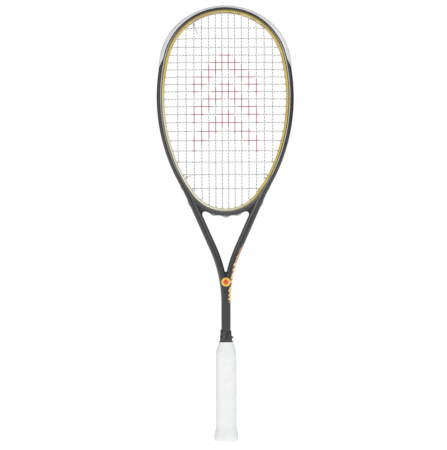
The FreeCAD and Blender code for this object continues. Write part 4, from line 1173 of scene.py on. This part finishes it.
finish_all(moulded("staple_steel", (0.50, 0.50, 0.50), (0.62, 0.62, 0.61), 0.34, 900, Metallic=1.0),
           "butt_staples")

# ---- floor, light and camera


def lamp(name, at, aim, power, width, height):
    data = bpy.data.lights.new(name, "AREA")
    data.shape, data.size, data.size_y, data.energy = "RECTANGLE", width, height, power
    light = bpy.data.objects.new(name, data)
    bpy.context.scene.collection.objects.link(light)
    light.location = at
    light.rotation_euler = (Vector(aim) - Vector(at)).to_track_quat("-Z", "Y").to_euler()


def pale_floor():
    mesh, half = bpy.data.meshes.new("floor"), 4
    corners = [(-half, -half, 0), (half, -half, 0), (half, half, 0), (-half, half, 0)]
    mesh.from_pydata(corners, [], [(0, 1, 2, 3)])
    floor = bpy.data.objects.new("floor", mesh)
    bpy.context.scene.collection.objects.link(floor)
    floor.location.z = cad_box[0].z - 0.0004
    paint = Paint("pale_floor", Roughness=0.8, Emission_Color=(1, 1, 1, 1), Emission_Strength=0.72)
    tones = (0.88, 0.88, 0.88), (0.91, 0.91, 0.91)
    mesh.materials.append(paint.finish(paint.mix(paint.mottle(6, 2), *tones)))


def studio_world():
    """White to look at; softer and darker at the sides in what it sheds on the racket."""
    world = bpy.data.worlds.new("studio")
    bpy.context.scene.world = world
    world.use_nodes = True
    nodes = world.node_tree.nodes
    shed = nodes["Background"]
    seen, mix, path, place, axes, size, ramp = [nodes.new("ShaderNode" + kind) for kind in (
        "Background", "MixShader", "LightPath", "TexCoord", "SeparateXYZ", "Math", "MapRange")]
    seen.inputs["Color"].default_value = (1, 1, 1, 1)
    size.operation = "ABSOLUTE"
    for socket, value in zip(ramp.inputs[1:5], (0.3, 0.95, 0.42, 0.17)):
        socket.default_value = value
    for source, target in (
        (place.outputs["Generated"], axes.inputs[0]), (axes.outputs["X"], size.inputs[0]),
        (size.outputs[0], ramp.inputs[0]), (ramp.outputs[0], shed.inputs["Color"]),
        (path.outputs["Is Camera Ray"], mix.inputs[0]), (shed.outputs[0], mix.inputs[1]),
        (seen.outputs[0], mix.inputs[2]), (mix.outputs[0], nodes["World Output"].inputs[0]),
    ):
        world.node_tree.links.new(source, target)


pale_floor()
studio_world()
lamp("key", (0.75, -1.55, 1.5), (0, 0, 0.5), 14.5, 0.9, 0.9)
lamp("fill", (-1.4, -1.2, 0.8), (0, 0, 0.4), 5.5, 1.2, 1.2)

scene = bpy.context.scene
scene.view_settings.view_transform = "Standard"

DISTANCE, VIEW_HEIGHT = 2.0, 0.7075
camera_data = bpy.data.cameras.new("camera")
camera_data.sensor_width = 36
camera_data.lens = camera_data.sensor_width * DISTANCE / VIEW_HEIGHT
camera = bpy.data.objects.new("camera", camera_data)
scene.collection.objects.link(camera)
camera.location = (-0.0034, -DISTANCE, 0.3413)
camera.rotation_euler = (radians(90), radians(0.2), 0)
scene.camera = camera
